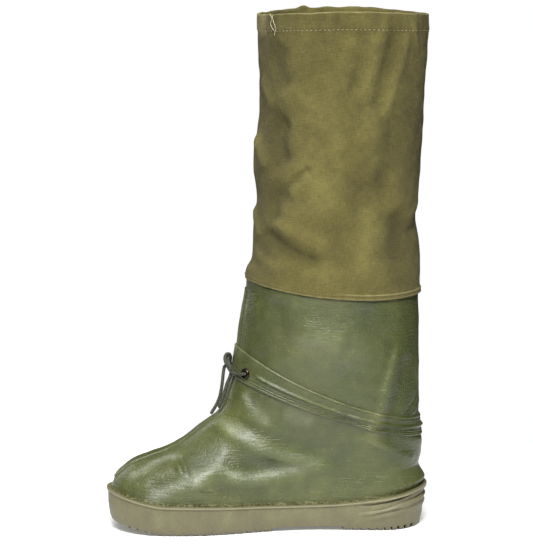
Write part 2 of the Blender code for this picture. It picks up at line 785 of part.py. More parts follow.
def add_cord_lock():
    """The drawcord's ends, and the lock that they run through: a barrel across them with a
    slot, and a button whose stem slides in the barrel's end."""
    cord = material("drawcord", "6f6740", 0.85)
    plastic = material("cord_lock", "1c1d1b", 0.4)
    for name, way in (("drawcord_front", -1), ("drawcord_rear", 1)):
        route = [beside_hem(way * behind, out, below) for behind, out, below in DRAWCORD_END]
        add_tube(name, route, DRAWCORD, cord)

    half, bevel = LOCK_LENGTH / 2, LOCK_RADIUS / 5
    bore = STEM_RADIUS + GAP
    centre = beside_hem(*LOCK)
    profile = (
        (0, -half),
        (LOCK_RADIUS - bevel, -half),
        (LOCK_RADIUS, -half + bevel),
        (LOCK_RADIUS, half - bevel),
        (LOCK_RADIUS - bevel, half),
        (bore, half),
        (bore, half - BORE_DEPTH),
        (0, half - BORE_DEPTH),
    )
    barrel = add_turned("cord_lock_barrel", profile, centre, (1, 0, 0), plastic)
    slot_y = DRAWCORD / 2 + 2 * GAP
    slot = np.array((CORD_ASIDE * LOCK_LENGTH + slot_y, slot_y, 2 * LOCK_RADIUS))
    cut(barrel, add_box("lock_slot", centre - slot, centre + slot))

    button = (
        (0, half - BORE_DEPTH + GAP),
        (STEM_RADIUS, half - BORE_DEPTH + GAP),
        (STEM_RADIUS, half + GAP),
        (BUTTON_RADIUS, half + GAP),
        (BUTTON_RADIUS, half + BUTTON_LENGTH - bevel),
        (BUTTON_RADIUS - bevel, half + BUTTON_LENGTH),
        (0, half + BUTTON_LENGTH),
    )
    add_turned("cord_lock_plunger", button, centre, (1, 0, 0), plastic)


def main():
    for old in list(bpy.data.objects):
        bpy.data.objects.remove(old)
    add_outsole()
    add_insole()
    add_upper()
    add_front_tape()
    add_ankle_band()
    add_eyelets()
    add_lace()
    add_canvas()
    add_cord_lock()


main()
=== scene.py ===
"""Looks of the winter overshoe: rubberised fabric upper, canvas shaft, rubber cup sole and plush
lining.

Toe towards -X, inner (medial) side towards -Y, floor at z = 0, metres.
"""

import math

import bmesh
import bpy
import numpy as np
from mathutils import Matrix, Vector, noise


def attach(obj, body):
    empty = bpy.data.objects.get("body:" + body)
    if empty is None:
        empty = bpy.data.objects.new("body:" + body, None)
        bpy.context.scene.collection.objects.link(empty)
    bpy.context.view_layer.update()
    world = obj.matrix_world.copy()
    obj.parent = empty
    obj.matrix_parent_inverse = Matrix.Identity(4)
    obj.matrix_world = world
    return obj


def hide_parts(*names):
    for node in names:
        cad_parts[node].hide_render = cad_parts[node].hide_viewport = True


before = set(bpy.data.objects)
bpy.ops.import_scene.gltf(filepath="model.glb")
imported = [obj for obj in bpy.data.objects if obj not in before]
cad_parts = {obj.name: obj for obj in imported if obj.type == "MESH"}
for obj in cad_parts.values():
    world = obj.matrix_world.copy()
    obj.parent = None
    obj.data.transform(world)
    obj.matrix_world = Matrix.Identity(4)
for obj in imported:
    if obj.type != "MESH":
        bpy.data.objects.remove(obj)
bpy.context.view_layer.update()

BODY = "root"

# Camera, light and floor.

# The photograph's camera: 2.5 m away, 0.62 m high, 4 degrees off square, looking down 8.2.
CAMERA_AWAY, CAMERA_HEIGHT = 2.5, 0.621
CAMERA_TURN, CAMERA_DOWN = math.radians(4.0), math.radians(8.2)
FOCAL_PIXELS, PHOTO_HEIGHT = 2478.0, 547.0
KEY_WATTS, RIM_WATTS, OVERHEAD, FILL = 112.0, 9.0, 1.7, 0.05
TABLE_RADIUS, TABLE_GLOW = 0.56, 0.18


def make_camera():
    data = bpy.data.cameras.new("camera")
    data.sensor_fit = "AUTO"
    data.sensor_width = 36.0
    data.lens = data.sensor_width * FOCAL_PIXELS / PHOTO_HEIGHT
    camera = bpy.data.objects.new("camera", data)
    camera.location = (
        -CAMERA_AWAY * math.sin(CAMERA_TURN),
        -CAMERA_AWAY * math.cos(CAMERA_TURN),
        CAMERA_HEIGHT,
    )
    camera.rotation_euler = (math.pi / 2 - CAMERA_DOWN, 0.0, -CAMERA_TURN)
    bpy.context.scene.collection.objects.link(camera)
    bpy.context.scene.camera = camera


def linear(hex_colour):
    """An sRGB hex colour as linear red, green, blue and alpha."""
    srgb = [int(hex_colour[i : i + 2], 16) / 255 for i in (0, 2, 4)]
    return (*(c / 12.92 if c <= 0.04045 else ((c + 0.055) / 1.055) ** 2.4 for c in srgb), 1.0)


def feed(tree, node, feeds):
    """Sets a node's inputs, by name or number: each to a value, or linked from an output socket
    or from the first open output of another node."""
    for key, value in feeds.items():
        if isinstance(value, bpy.types.Node):
            value = next(socket for socket in value.outputs if socket.enabled)
        if isinstance(value, bpy.types.NodeSocket):
            tree.links.new(value, node.inputs[key])
        else:
            node.inputs[key].default_value = value


def add(tree, kind, feeds=None, **settings):
    """Adds a node with its settings and feeds. Shader nodes go without their kind's prefix."""
    made = tree.nodes.new(kind if "Node" in kind else "ShaderNode" + kind)
    for key, value in settings.items():
        setattr(made, key, value)
    feed(tree, made, feeds or {})
    return made


def material(name, colour, roughness, **sockets):
    """A material with its tree and shader. sockets are the shader's own values."""
    made = bpy.data.materials.new(name)
    made.use_nodes = True
    tree = made.node_tree
    shader = tree.nodes["Principled BSDF"]
    sockets = {key.replace("_", " "): value for key, value in sockets.items()}
    feed(tree, shader, {"Base Color": linear(colour), "Roughness": roughness, **sockets})
    return made, tree, shader


def add_softbox(name, place, target, size, watts):
    data = bpy.data.lights.new(name, "AREA")
    data.shape = "RECTANGLE"
    data.size, data.size_y = size
    data.energy = watts
    light = bpy.data.objects.new(name, data)
    light.location = place
    light.rotation_euler = (Vector(target) - Vector(place)).to_track_quat("-Z", "Y").to_euler()
    bpy.context.scene.collection.objects.link(light)


def make_studio():
    """A light table in a white studio: one large light overhead, a softbox high in front and a
    weak one behind."""
    scene = bpy.context.scene
    scene.view_settings.view_transform = "Standard"
    world = bpy.data.worlds.new("studio")
    world.use_nodes = True
    tree = world.node_tree
    tree.nodes.clear()
    seen = add(tree, "Background", {"Color": (1, 1, 1, 1), "Strength": 1.0})
    fill = add(tree, "Background", {"Color": (1.0, 0.98, 0.95, 1), "Strength": FILL})
    camera_ray = add(tree, "LightPath").outputs["Is Camera Ray"]
    mixed = add(tree, "MixShader", {0: camera_ray, 1: fill, 2: seen})
    add(tree, "OutputWorld", {"Surface": mixed})
    scene.world = world

    middle = (0.0, 0.0, 0.25)
    add_softbox("front_softbox", (-0.12, -1.8, 2.1), middle, (1.1, 1.1), KEY_WATTS)
    add_softbox("rim_softbox", (-1.3, 1.8, 0.8), middle, (0.5, 1.4), RIM_WATTS)
    overhead = bpy.data.lights.new("overhead_light", "SUN")
    overhead.energy, overhead.angle = OVERHEAD, math.radians(50)
    light = bpy.data.objects.new("overhead_light", overhead)
    light.rotation_euler = Vector((0.20, 0.30, -1.0)).to_track_quat("-Z", "Y").to_euler()
    scene.collection.objects.link(light)

    bpy.ops.mesh.primitive_circle_add(
        vertices=96, radius=TABLE_RADIUS, fill_type="NGON", location=(0.0, -0.1, 0.0)
    )
    floor = bpy.context.object
    floor.name = "floor"
    glow = {"Emission_Color": (1, 1, 1, 1), "Emission_Strength": TABLE_GLOW}
    paper, _, _ = material("white light table", "f4f4f4", 0.9, Specular_IOR_Level=0.0, **glow)
    floor.data.materials.append(paper)


make_camera()
make_studio()

# The overshoe's sizes.

SOLE_LENGTH, BALL_WIDTH, HEEL_HEIGHT, RIM = 0.3265, 0.123, 0.043, 0.0035
TREAD_DEPTH, TOE_SPRING, ARCH_RISE = 0.003, 0.008, 0.0045
TOP_LIP, HEEL_LIP, HEEL_RIB, RIB_SWEEP = 0.0012, 0.0026, 0.0014, 0.20
FOREFOOT_PITCH, HEEL_PITCH, GROOVE_WIDTH = 0.009, 0.0075, 0.0034
UPPER_WALL, SEAM_HEIGHT = 0.0016, 0.258
CANVAS_WALL, CANVAS_TOP = 0.0012, 0.524
SHAFT_LENGTH, SHAFT_WIDTH, SHAFT_SET_BACK = 0.1785, 0.134, 0.0677
BINDING_STEP, HEM_STEP = 0.0006, 0.0007
TAPE, BAND_WALL, LACE, LACE_RIDGE = 0.0009, 0.0013, 0.0036, 0.6
EYELET_RADIUS, EYELET_HOLE, EYELET_THICKNESS = 0.0057, 0.0027, 0.0016
EYELET_ANGLE, EYELET_LEVEL = 30.0, 11.72
DRAWCORD, LOCK_RADIUS, LOCK_LENGTH = 0.0022, 0.005, 0.015
GAP = 0.0003
# Rows of an outer face for each row of its inner one, rows of the lining with tufts, and how far
# a cord's strands stand out as a share of its radius.
HIDDEN_ROWS, TUFT_ROWS, BRAID_RELIEF = 8, 26, 0.09
# A level and the levels beside it, which give a face's slope there, and half the sole's gap in x
# between the columns on both sides of a tread edge.
BESIDE, EDGE_GAP = np.array((-0.02, 0.0, 0.02)), 0.00012

HALF_SOLE = SOLE_LENGTH / 2
FEATHER = RIM + GAP
SHAFT_FRONT = SHAFT_SET_BACK - SHAFT_LENGTH / 2
SHAFT_BACK = SHAFT_SET_BACK + SHAFT_LENGTH / 2
LAP = CANVAS_WALL + GAP
TOE_ROUND, HEEL_ROUND, SPRING_FROM = 0.16, 0.145, 0.19

# The sole from above, as shares of its length and of the ball width.
OUTLINE = (
    # share, middle, half
    (0.00, -0.040, 0.400),
    (0.10, -0.012, 0.425),
    (0.17, 0.014, 0.456),
    (0.24, 0.036, 0.492),
    (0.30, 0.047, 0.500),
    (0.38, 0.058, 0.477),
    (0.50, 0.070, 0.412),
    (0.62, 0.062, 0.367),
    (0.74, 0.033, 0.362),
    (0.83, 0.012, 0.376),
    (0.91, 0.004, 0.383),
    (1.00, 0.000, 0.383),
)

# The sole from the side, as shares of its length and of the heel's height.
SOLE_HEIGHTS = (
    # share, top edge, cup floor
    (0.00, 0.814, 0.349),
    (0.05, 0.756, 0.340),
    (0.10, 0.740, 0.333),
    (0.25, 0.721, 0.326),
    (0.45, 0.663, 0.349),
    (0.60, 0.628, 0.372),
    (0.72, 0.663, 0.419),
    (0.82, 0.767, 0.477),
    (0.92, 0.895, 0.500),
    (1.00, 1.000, 0.512),
)

# The sole's side: share of its height, how far it stands out as a share of the rim, and the
# heel's ribs as a share of their height.
SIDE = (
    # height, out, rib
    (0.00, -2.14, 0.0),
    (0.05, -1.29, 0.0),
    (0.14, -0.74, 0.0),
    (0.28, -0.40, 0.0),
    (0.38, -0.23, 1.0),
    (0.48, -0.11, 0.1),
    (0.56, 0.0, 0.9),
    (0.62, 0.0, -0.9),
    (0.70, 0.0, 0.3),
    (0.90, 0.0, 0.0),
    (0.925, 0.0, 0.0),
    (1.00, 0.0, 0.0),
)
LIP_FROM, RIBS_FROM, RIB_FADE = 0.92, 0.77, 0.07
SWEEP_OVER = (0.05, 0.82)
FOREFOOT_TREAD, HEEL_TREAD = (0.030, 0.510), (0.733, 0.985)

# The upper's rings from the feather line up: shares, as in the part.
RINGS = (
    # front, rise, back, rise, sag, hug, width, shaft, front round, back round
    (0.000, 0.000, 0.00, 0.000, 0.060, 1.0, 1.000, 0.00, 0.16, 0.15),
    (0.024, 0.046, -1.10, 0.023, 0.052, 0.8, 1.020, 0.00, 0.17, 0.15),
    (0.075, 0.083, -0.55, 0.047, 0.051, 0.5, 1.025, 0.00, 0.18, 0.16),
    (0.157, 0.122, 0.20, 0.070, 0.050, 0.3, 1.010, 0.01, 0.20, 0.16),
    (0.279, 0.152, 0.55, 0.093, 0.048, 0.1, 0.985, 0.03, 0.22, 0.17),
    (0.424, 0.182, 0.33, 0.116, 0.047, 0.0, 0.960, 0.08, 0.25, 0.19),
    (0.555, 0.228, 0.00, 0.140, 0.045, 0.0, 0.940, 0.15, 0.29, 0.22),
    (0.671, 0.286, -0.18, 0.165, 0.042, 0.0, 0.930, 0.24, 0.33, 0.25),
    (0.772, 0.333, -0.25, 0.186, 0.038, 0.0, 0.925, 0.33, 0.36, 0.28),
    (0.825, 0.382, -0.25, 0.202, 0.034, 0.0, 0.930, 0.42, 0.38, 0.30),
    (0.860, 0.450, -0.18, 0.219, 0.028, 0.0, 0.940, 0.51, 0.39, 0.32),
    (0.897, 0.528, 0.13, 0.237, 0.023, 0.0, 0.950, 0.60, 0.40, 0.34),
    (0.914, 0.597, 0.46, 0.284, 0.031, 0.0, 0.960, 0.68, 0.41, 0.36),
    (0.933, 0.675, 0.60, 0.335, 0.043, 0.0, 0.970, 0.76, 0.41, 0.38),
    (0.950, 0.759, 0.65, 0.460, 0.045, 0.0, 0.980, 0.85, 0.41, 0.40),
    (0.974, 0.861, 0.78, 0.637, 0.033, 0.0, 0.990, 0.93, 0.42, 0.41),
    (0.994, 0.944, 0.85, 0.814, 0.026, 0.0, 0.990, 0.98, 0.43, 0.43),
    (1.000, 1.000, 1.05, 0.935, 0.025, 0.0, 0.997, 1.00, 0.43, 0.43),
    (1.025, 1.050, 1.65, 1.000, 0.022, 0.0, 0.972, 1.00, 0.43, 0.43),
)
BAND = (11.0, 13.0)
TAPE_RINGS, TAPE_ANGLE = (1.0, 16.0), 9.5

# The canvas shaft's rings from its lower edge up: shares, as in the part.
CANVAS_RINGS = (
    # front rise, back rise, front, back, sag, width
    (-0.004, -0.058, 0.000, 0.003, 0.024, 1.000),
    (0.015, -0.039, -0.003, 0.000, 0.022, 1.000),
    (0.036, -0.018, -0.012, -0.005, 0.018, 0.995),
    (0.071, 0.038, -0.036, -0.006, 0.008, 0.988),
    (0.139, 0.124, -0.044, -0.004, 0.003, 0.982),
    (0.233, 0.226, -0.053, -0.022, 0.0, 0.980),
    (0.316, 0.316, -0.062, -0.014, 0.0, 0.982),
    (0.402, 0.402, -0.043, -0.008, 0.0, 0.985),
    (0.489, 0.489, -0.051, 0.000, 0.0, 0.987),
    (0.571, 0.571, -0.072, 0.010, 0.0, 0.990),
    (0.684, 0.684, -0.079, 0.017, 0.0, 0.993),
    (0.797, 0.797, -0.082, 0.022, -0.004, 0.996),
    (0.930, 0.930, -0.074, 0.033, -0.012, 1.000),
    (1.000, 1.000, -0.075, 0.032, -0.018, 1.000),
)
CANVAS_ROUND = 0.43
# The upper's folds fade out over the first 12 mm above the sole and over 20 mm under the canvas.
HELD_BY_SOLE, FOLDS_TO, FOLDS_FADE = 0.012, 0.25, 0.02
# Heights where the canvas's puckers, its hem and its rim begin and where its folds do, each with
# the height that it takes to be full. Its back seam is at SEAM_X, on the outer side.
PUCKERS, HEM, CANVAS_RIM, LOOSE = (0.455, 0.055), (0.505, 0.004), (0.515, 0.012), (0.243, 0.03)
SEAM_X, SEAM_REACH, SEAM_UP = 0.042, 0.005, 0.0025
# The ankle tunnel's levels: where the lace runs, its sewn lines and the puffs beside them.
LACE_LEVEL, TUNNEL_SEAMS, TUNNEL_PUFFS = 12.0, (11.24, 11.44, 12.82), (11.14, 11.34, 11.54, 12.9)
HEM_SEAM, LINING_TOP, PILE, CLEAR = 12.09, 11.05, 0.0055, 0.0072

# The lace's two strands before the ankle, in mm: from the eyelet through the knot to the tip.
LONG_STRAND = (
    (-27.4, -21.6, 160.6),
    (-32.4, -16.2, 160.2),
    (-36.4, -12.0, 161.4),
    (-39.5, -9.0, 165.6),
    (-42.2, -8.0, 171.1),
    (-42.8, -6.5, 175.5),
    (-40.9, -3.5, 178.4),
    (-38.0, -0.5, 177.7),
    (-37.4, 2.2, 173.9),
    (-38.2, 3.8, 169.6),
    (-40.9, 2.4, 166.6),
    (-43.4, -1.0, 164.2),
    (-44.6, -3.6, 158.4),
    (-45.4, -4.0, 150.6),
    (-46.6, -4.0, 142.4),
    (-48.4, -4.0, 134.1),
    (-51.8, -3.6, 125.9),
    (-57.5, -3.0, 116.3),
)
SHORT_STRAND = (
    (-33.0, 13.0, 159.6),
    (-34.6, 10.4, 163.9),
    (-35.6, 7.8, 169.2),
    (-36.6, 4.6, 174.4),
    (-38.4, 0.8, 175.4),
    (-40.0, -4.4, 173.9),
    (-39.2, -9.0, 170.3),
    (-37.8, -11.6, 166.0),
    (-37.0, -10.6, 161.8),
    (-37.4, -8.4, 157.9),
    (-38.8, -7.6, 153.6),
    (-40.9, -7.6, 148.8),
    (-43.1, -8.0, 141.9),
    (-45.5, -8.4, 134.3),
    (-47.7, -8.4, 128.8),
    (-49.4, -8.0, 123.4),
)

# The drawcord's ends: how far behind the shaft's middle and below its top, in lock lengths, and
# out from its side, in lock radii.
DRAWCORD_END = (
    # behind, out, below
    (0.48, 0.54, 0.67),
    (0.36, 0.76, 1.13),
    (0.15, 1.08, 1.77),
    (0.10, 1.18, 2.27),
    (0.10, 1.18, 3.00),
    (0.20, 1.08, 3.65),
    (0.41, 0.86, 4.35),
)


# Forms.


def through(rows, places):
    """Smooth curves through a table's rows, read at many places. The first column is the place."""
    rows, places = np.asarray(rows, float), np.asarray(places, float)
    at, values = rows[:, 0], rows[:, 1:]
    slopes = np.gradient(values, at, axis=0)
    i = np.clip(np.searchsorted(at, places) - 1, 0, len(at) - 2)
    step = (at[i + 1] - at[i])[..., None]
    t = (places[..., None] - at[i][..., None]) / step
    return (
        (2 * t**3 - 3 * t**2 + 1) * values[i]
        + (t**3 - 2 * t**2 + t) * step * slopes[i]
        + (3 * t**2 - 2 * t**3) * values[i + 1]
        + (t**3 - t**2) * step * slopes[i + 1]
    )


def numbered(rows):
    return [(i, *row) for i, row in enumerate(rows)]


RING_CURVE, CANVAS_CURVE = numbered(RINGS), numbered(CANVAS_RINGS)


def mix(a, b, share):
    return a + (b - a) * share


def smooth(share):
    share = np.clip(share, 0.0, 1.0)
    return share * share * (3 - 2 * share)


def bell(level, at, width):
    """1 at a level, falling off on both sides over a width."""
    return np.exp(-(((level - at) / width) ** 2))


def from_toe(x):
    return np.clip((x + HALF_SOLE) / SOLE_LENGTH, 0.0, 1.0)


def tread_z(x):
    return TOE_SPRING * smooth((SPRING_FROM - from_toe(x)) / SPRING_FROM)


def top_edge_z(x):
    return tread_z(x) + through(SOLE_HEIGHTS, from_toe(x))[..., 0] * HEEL_HEIGHT


def cup_floor_z(x):
    return tread_z(x) + through(SOLE_HEIGHTS, from_toe(x))[..., 1] * HEEL_HEIGHT


class Columns:
    """Places round a ring: their side, their zone (0 toe, 1 middle, 2 heel), and in it an angle
    from the toe or the heel in degrees, or a share of the middle."""

    def __init__(self, side, zone, amount):
        self.side, self.zone, self.amount = np.array(side), np.array(zone), np.array(amount)
        self.count = len(self.zone)

    def plan(self, front, back, front_round, back_round):
        """x and reach of each column on each ring; the arguments are a row per ring."""
        angle = np.radians(self.amount)
        middle = mix(front + front_round, back - back_round, self.amount)
        sunk = 1 - np.cos(angle)
        toe, heel = front + front_round * sunk, back - back_round * sunk
        x = np.where(self.zone == 0, toe, np.where(self.zone == 1, middle, heel))
        return x, np.where(self.zone == 1, 1.0, np.sin(angle)) + 0.0 * x


def both_sides(zone, amount):
    """Columns from the toe along the medial side to the heel and back along the lateral side."""
    side = [-1.0] * len(zone) + [1.0] * (len(zone) - 2)
    return Columns(side, [*zone, *zone[-2:0:-1]], [*amount, *amount[-2:0:-1]])


def all_round(front, middle, back):
    """Columns all round, by how many each zone of a side has."""
    amount = [
        *np.linspace(0, 90, front, endpoint=False),
        *np.linspace(0, 1, middle + 1),
        *np.linspace(90, 0, back + 1)[1:],
    ]
    return both_sides([0] * front + [1] * (middle + 1) + [2] * back, amount)


def outline(x):
    """The sole's middle and half its width at x."""
    return np.moveaxis(through(OUTLINE, from_toe(x)) * BALL_WIDTH, -1, 0)


def round_sole(columns, out):
    """x and y of places that stand out from the sole's outline."""
    toe, heel = TOE_ROUND * SOLE_LENGTH + out, HEEL_ROUND * SOLE_LENGTH + out
    x, reach = columns.plan(-HALF_SOLE - out, HALF_SOLE + out, toe, heel)
    middle, half = outline(x)
    return x, middle + columns.side * reach * (half + out)


def sole_ring(columns, out, height):
    """A ring that stands out from the sole's outline. height gives z from x."""
    x, y = round_sole(columns, np.array([[out]]))
    return np.stack([x, y, height(x)], -1)


def upper_points(levels, columns):
    """Points on the upper's outer face, by level and column."""
    values = np.moveaxis(through(RING_CURVE, np.asarray(levels, float))[:, :, None], 1, 0)
    front, front_rise, back, back_rise, sag, hug, width, shaft, front_round, back_round = values
    x_front = mix(FEATHER - HALF_SOLE, SHAFT_FRONT + LAP, front)
    x_back = mix(HALF_SOLE - FEATHER, SHAFT_BACK - LAP, back)
    length = x_back - x_front
    x, reach = columns.plan(x_front, x_back, front_round * length, back_round * length)
    middle, half = outline(x)
    half = mix(half - FEATHER, SHAFT_WIDTH / 2 - LAP, shaft) * width
    y = mix(middle, 0.0, shaft) + columns.side * reach * half
    ends = (
        mix(top_edge_z(np.array(end)), SEAM_HEIGHT, rise)
        for end, rise in ((-HALF_SOLE, front_rise), (HALF_SOLE, back_rise))
    )
    along = (x - x_front) / length
    hanging = mix(*ends, along) - sag * SEAM_HEIGHT * 4 * along * (1 - along)
    hugging = top_edge_z(x) + mix(front_rise, back_rise, along) * SEAM_HEIGHT
    return np.stack([x, y, mix(hanging, hugging, hug)], -1)


def canvas_points(levels, columns):
    """Points on the canvas shaft's outer face, by level and column."""
    values = through(CANVAS_CURVE, np.asarray(levels, float))[:, :, None]
    front_rise, back_rise, front, back, sag, width = np.moveaxis(values, 1, 0)
    x_front = SHAFT_FRONT - front * SHAFT_LENGTH
    x_back = SHAFT_BACK + back * SHAFT_LENGTH
    length = x_back - x_front
    rounding = CANVAS_ROUND * length
    x, reach = columns.plan(x_front, x_back, rounding, rounding)
    along = (x - x_front) / length
    rise = mix(front_rise, back_rise, along) - sag * 4 * along * (1 - along)
    y = columns.side * reach * SHAFT_WIDTH / 2 * width
    return np.stack([x, y, mix(SEAM_HEIGHT, CANVAS_TOP, rise)], -1)


def outward(points, closed=True):
    """Outward normals of a grid of points whose columns run round the shoe."""
    up = np.gradient(points, axis=0)
    if closed:
        along = np.roll(points, -1, axis=1) - np.roll(points, 1, axis=1)
    else:
        along = np.gradient(points, axis=1)
    normals = np.cross(along, up)
    return normals / (np.linalg.norm(normals, axis=2)[:, :, None] + 1e-12)


def lumps(points, size, seed=0.0, stretch=(1.0, 1.0, 1.0)):
    """Smooth noise from -1 to 1 at points, with lumps of a size in metres."""
    scaled = points.reshape(-1, 3) / (size * np.asarray(stretch)) + seed
    values = np.fromiter((noise.noise(p) for p in scaled), float, len(scaled))
    return values.reshape(points.shape[:-1])


def new_object(name, mesh, *finishes):
    made = bpy.data.objects.new(name, mesh)
    bpy.context.scene.collection.objects.link(made)
    for finish in finishes:
        mesh.materials.append(finish)
    return made


def mesh_of(name, points, quads, uv=None, **attributes):
    """A smooth mesh from points and quads. uv is a place for each point of each quad, and an
    attribute is a value for each point."""
    mesh = bpy.data.meshes.new(name)
    points, quads = np.asarray(points, np.float32).reshape(-1, 3), np.asarray(quads, np.int32)
    mesh.vertices.add(len(points))
    mesh.vertices.foreach_set("co", points.ravel())
    mesh.loops.add(quads.size)
    mesh.loops.foreach_set("vertex_index", quads.ravel())
    mesh.polygons.add(len(quads))
    mesh.polygons.foreach_set("loop_start", np.arange(0, quads.size, 4, dtype=np.int32))
    mesh.update(calc_edges=True)
    mesh.validate()
    mesh.shade_smooth()
    if uv is not None:
        layer = mesh.uv_layers.new(name="cloth")
        layer.data.foreach_set("uv", np.asarray(uv, np.float32).ravel())
    for key, values in attributes.items():
        made = mesh.attributes.new(key, "FLOAT", "POINT")
        made.data.foreach_set("value", np.asarray(values, np.float32).ravel())
    return mesh


def grid_quads(rows, count, closed):
    """Quads of a grid, facing outwards where rows go up and columns go round."""
    across = count if closed else count - 1
    r, c = np.meshgrid(np.arange(rows - 1), np.arange(across), indexing="ij")
    a, b = r * count + c, r * count + (c + 1) % count
    return np.stack([a, b, b + count, a + count], -1).reshape(-1, 4), r, c


def along_line(points):
    """How far along a polyline each of its points lies."""
    return np.concatenate([[0.0], np.cumsum(np.linalg.norm(np.diff(points, axis=0), axis=1))])


def grid_uv(around, up, r, c):
    """The places in metres of the corners of a grid's quads, for a UV map."""
    corners = ((c, r), (c + 1, r), (c + 1, r + 1), (c, r + 1))
    return np.stack([np.stack([around[i], up[j]], -1) for i, j in corners], 2)


def shell(name, outer, inner, **attributes):
    """A tube with a wall from the grids of its outer face, from the bottom up, and its inner
    face, from the top down, with their columns round the shoe. The last row joins the first."""
    loop = np.concatenate([outer, inner, outer[:1]])
    rows, count = loop.shape[:2]
    quads, r, c = grid_quads(rows, count, True)
    ring = outer[len(outer) // 2]
    around = along_line(np.concatenate([ring, ring[:1]]))
    steps = np.linalg.norm(np.diff(loop, axis=0), axis=2).mean(1)
    up = np.concatenate([[0.0], np.cumsum(steps)])
    filled = {
        key: np.concatenate([values, np.full((len(inner), count), np.median(values))])
        for key, values in attributes.items()
    }
    quads %= (rows - 1) * count
    return mesh_of(name, loop[:-1], quads, grid_uv(around, up, r, c), **filled)


def hidden_face(points, normals, moved, thick):
    """The inner face of a folded wall: as deep as the deepest fold nearby, because it has fewer
    rows than the outer face."""
    nearby = range(-HIDDEN_ROWS, HIDDEN_ROWS + 1)
    deepest = np.min([np.roll(moved, rows, 0) for rows in nearby], axis=0)
    return points - normals * (thick + moved - deepest)[..., None]


def line_distance(points, line):
    """Each point's distance to a polyline, its place along it from 0 to 1, and whether it lies
    to the left of it, seen in the x-z plane."""
    flat, line = points.reshape(-1, 3), np.asarray(line, float)
    lengths = np.linalg.norm(np.diff(line, axis=0), axis=1)
    starts = along_line(line)
    best, place, left = np.full(len(flat), 1e9), np.zeros(len(flat)), np.zeros(len(flat), bool)
    for a, b, start, length in zip(line, line[1:], starts, lengths):
        t = np.clip((flat - a) @ (b - a) / length**2, 0, 1)
        off = flat - a - t[:, None] * (b - a)
        away = np.linalg.norm(off, axis=1)
        nearer = away < best
        best[nearer], place[nearer] = away[nearer], (start + t * length)[nearer] / starts[-1]
        left[nearer] = ((b - a)[0] * off[:, 2] - (b - a)[2] * off[:, 0] > 0)[nearer]
    return tuple(values.reshape(points.shape[:-1]) for values in (best, place, left))


def on_side(points, side, x, z):
    """The place on a grid's side -1 or 1 at x and z in millimetres."""
    flat = points.reshape(-1, 3)
    away = (flat[:, 0] - x / 1000) ** 2 + (flat[:, 2] - z / 1000) ** 2
    away = away + np.where(flat[:, 1] * side < -0.002, 1.0, 0.0)
    return np.array((x / 1000, flat[np.argmin(away), 1], z / 1000))


def spread(line, count=14):
    """A polyline's points on a smooth curve through them."""
    rows = numbered(line)
    return through(rows, np.linspace(0, len(line) - 1, count))


# The upper's folds.

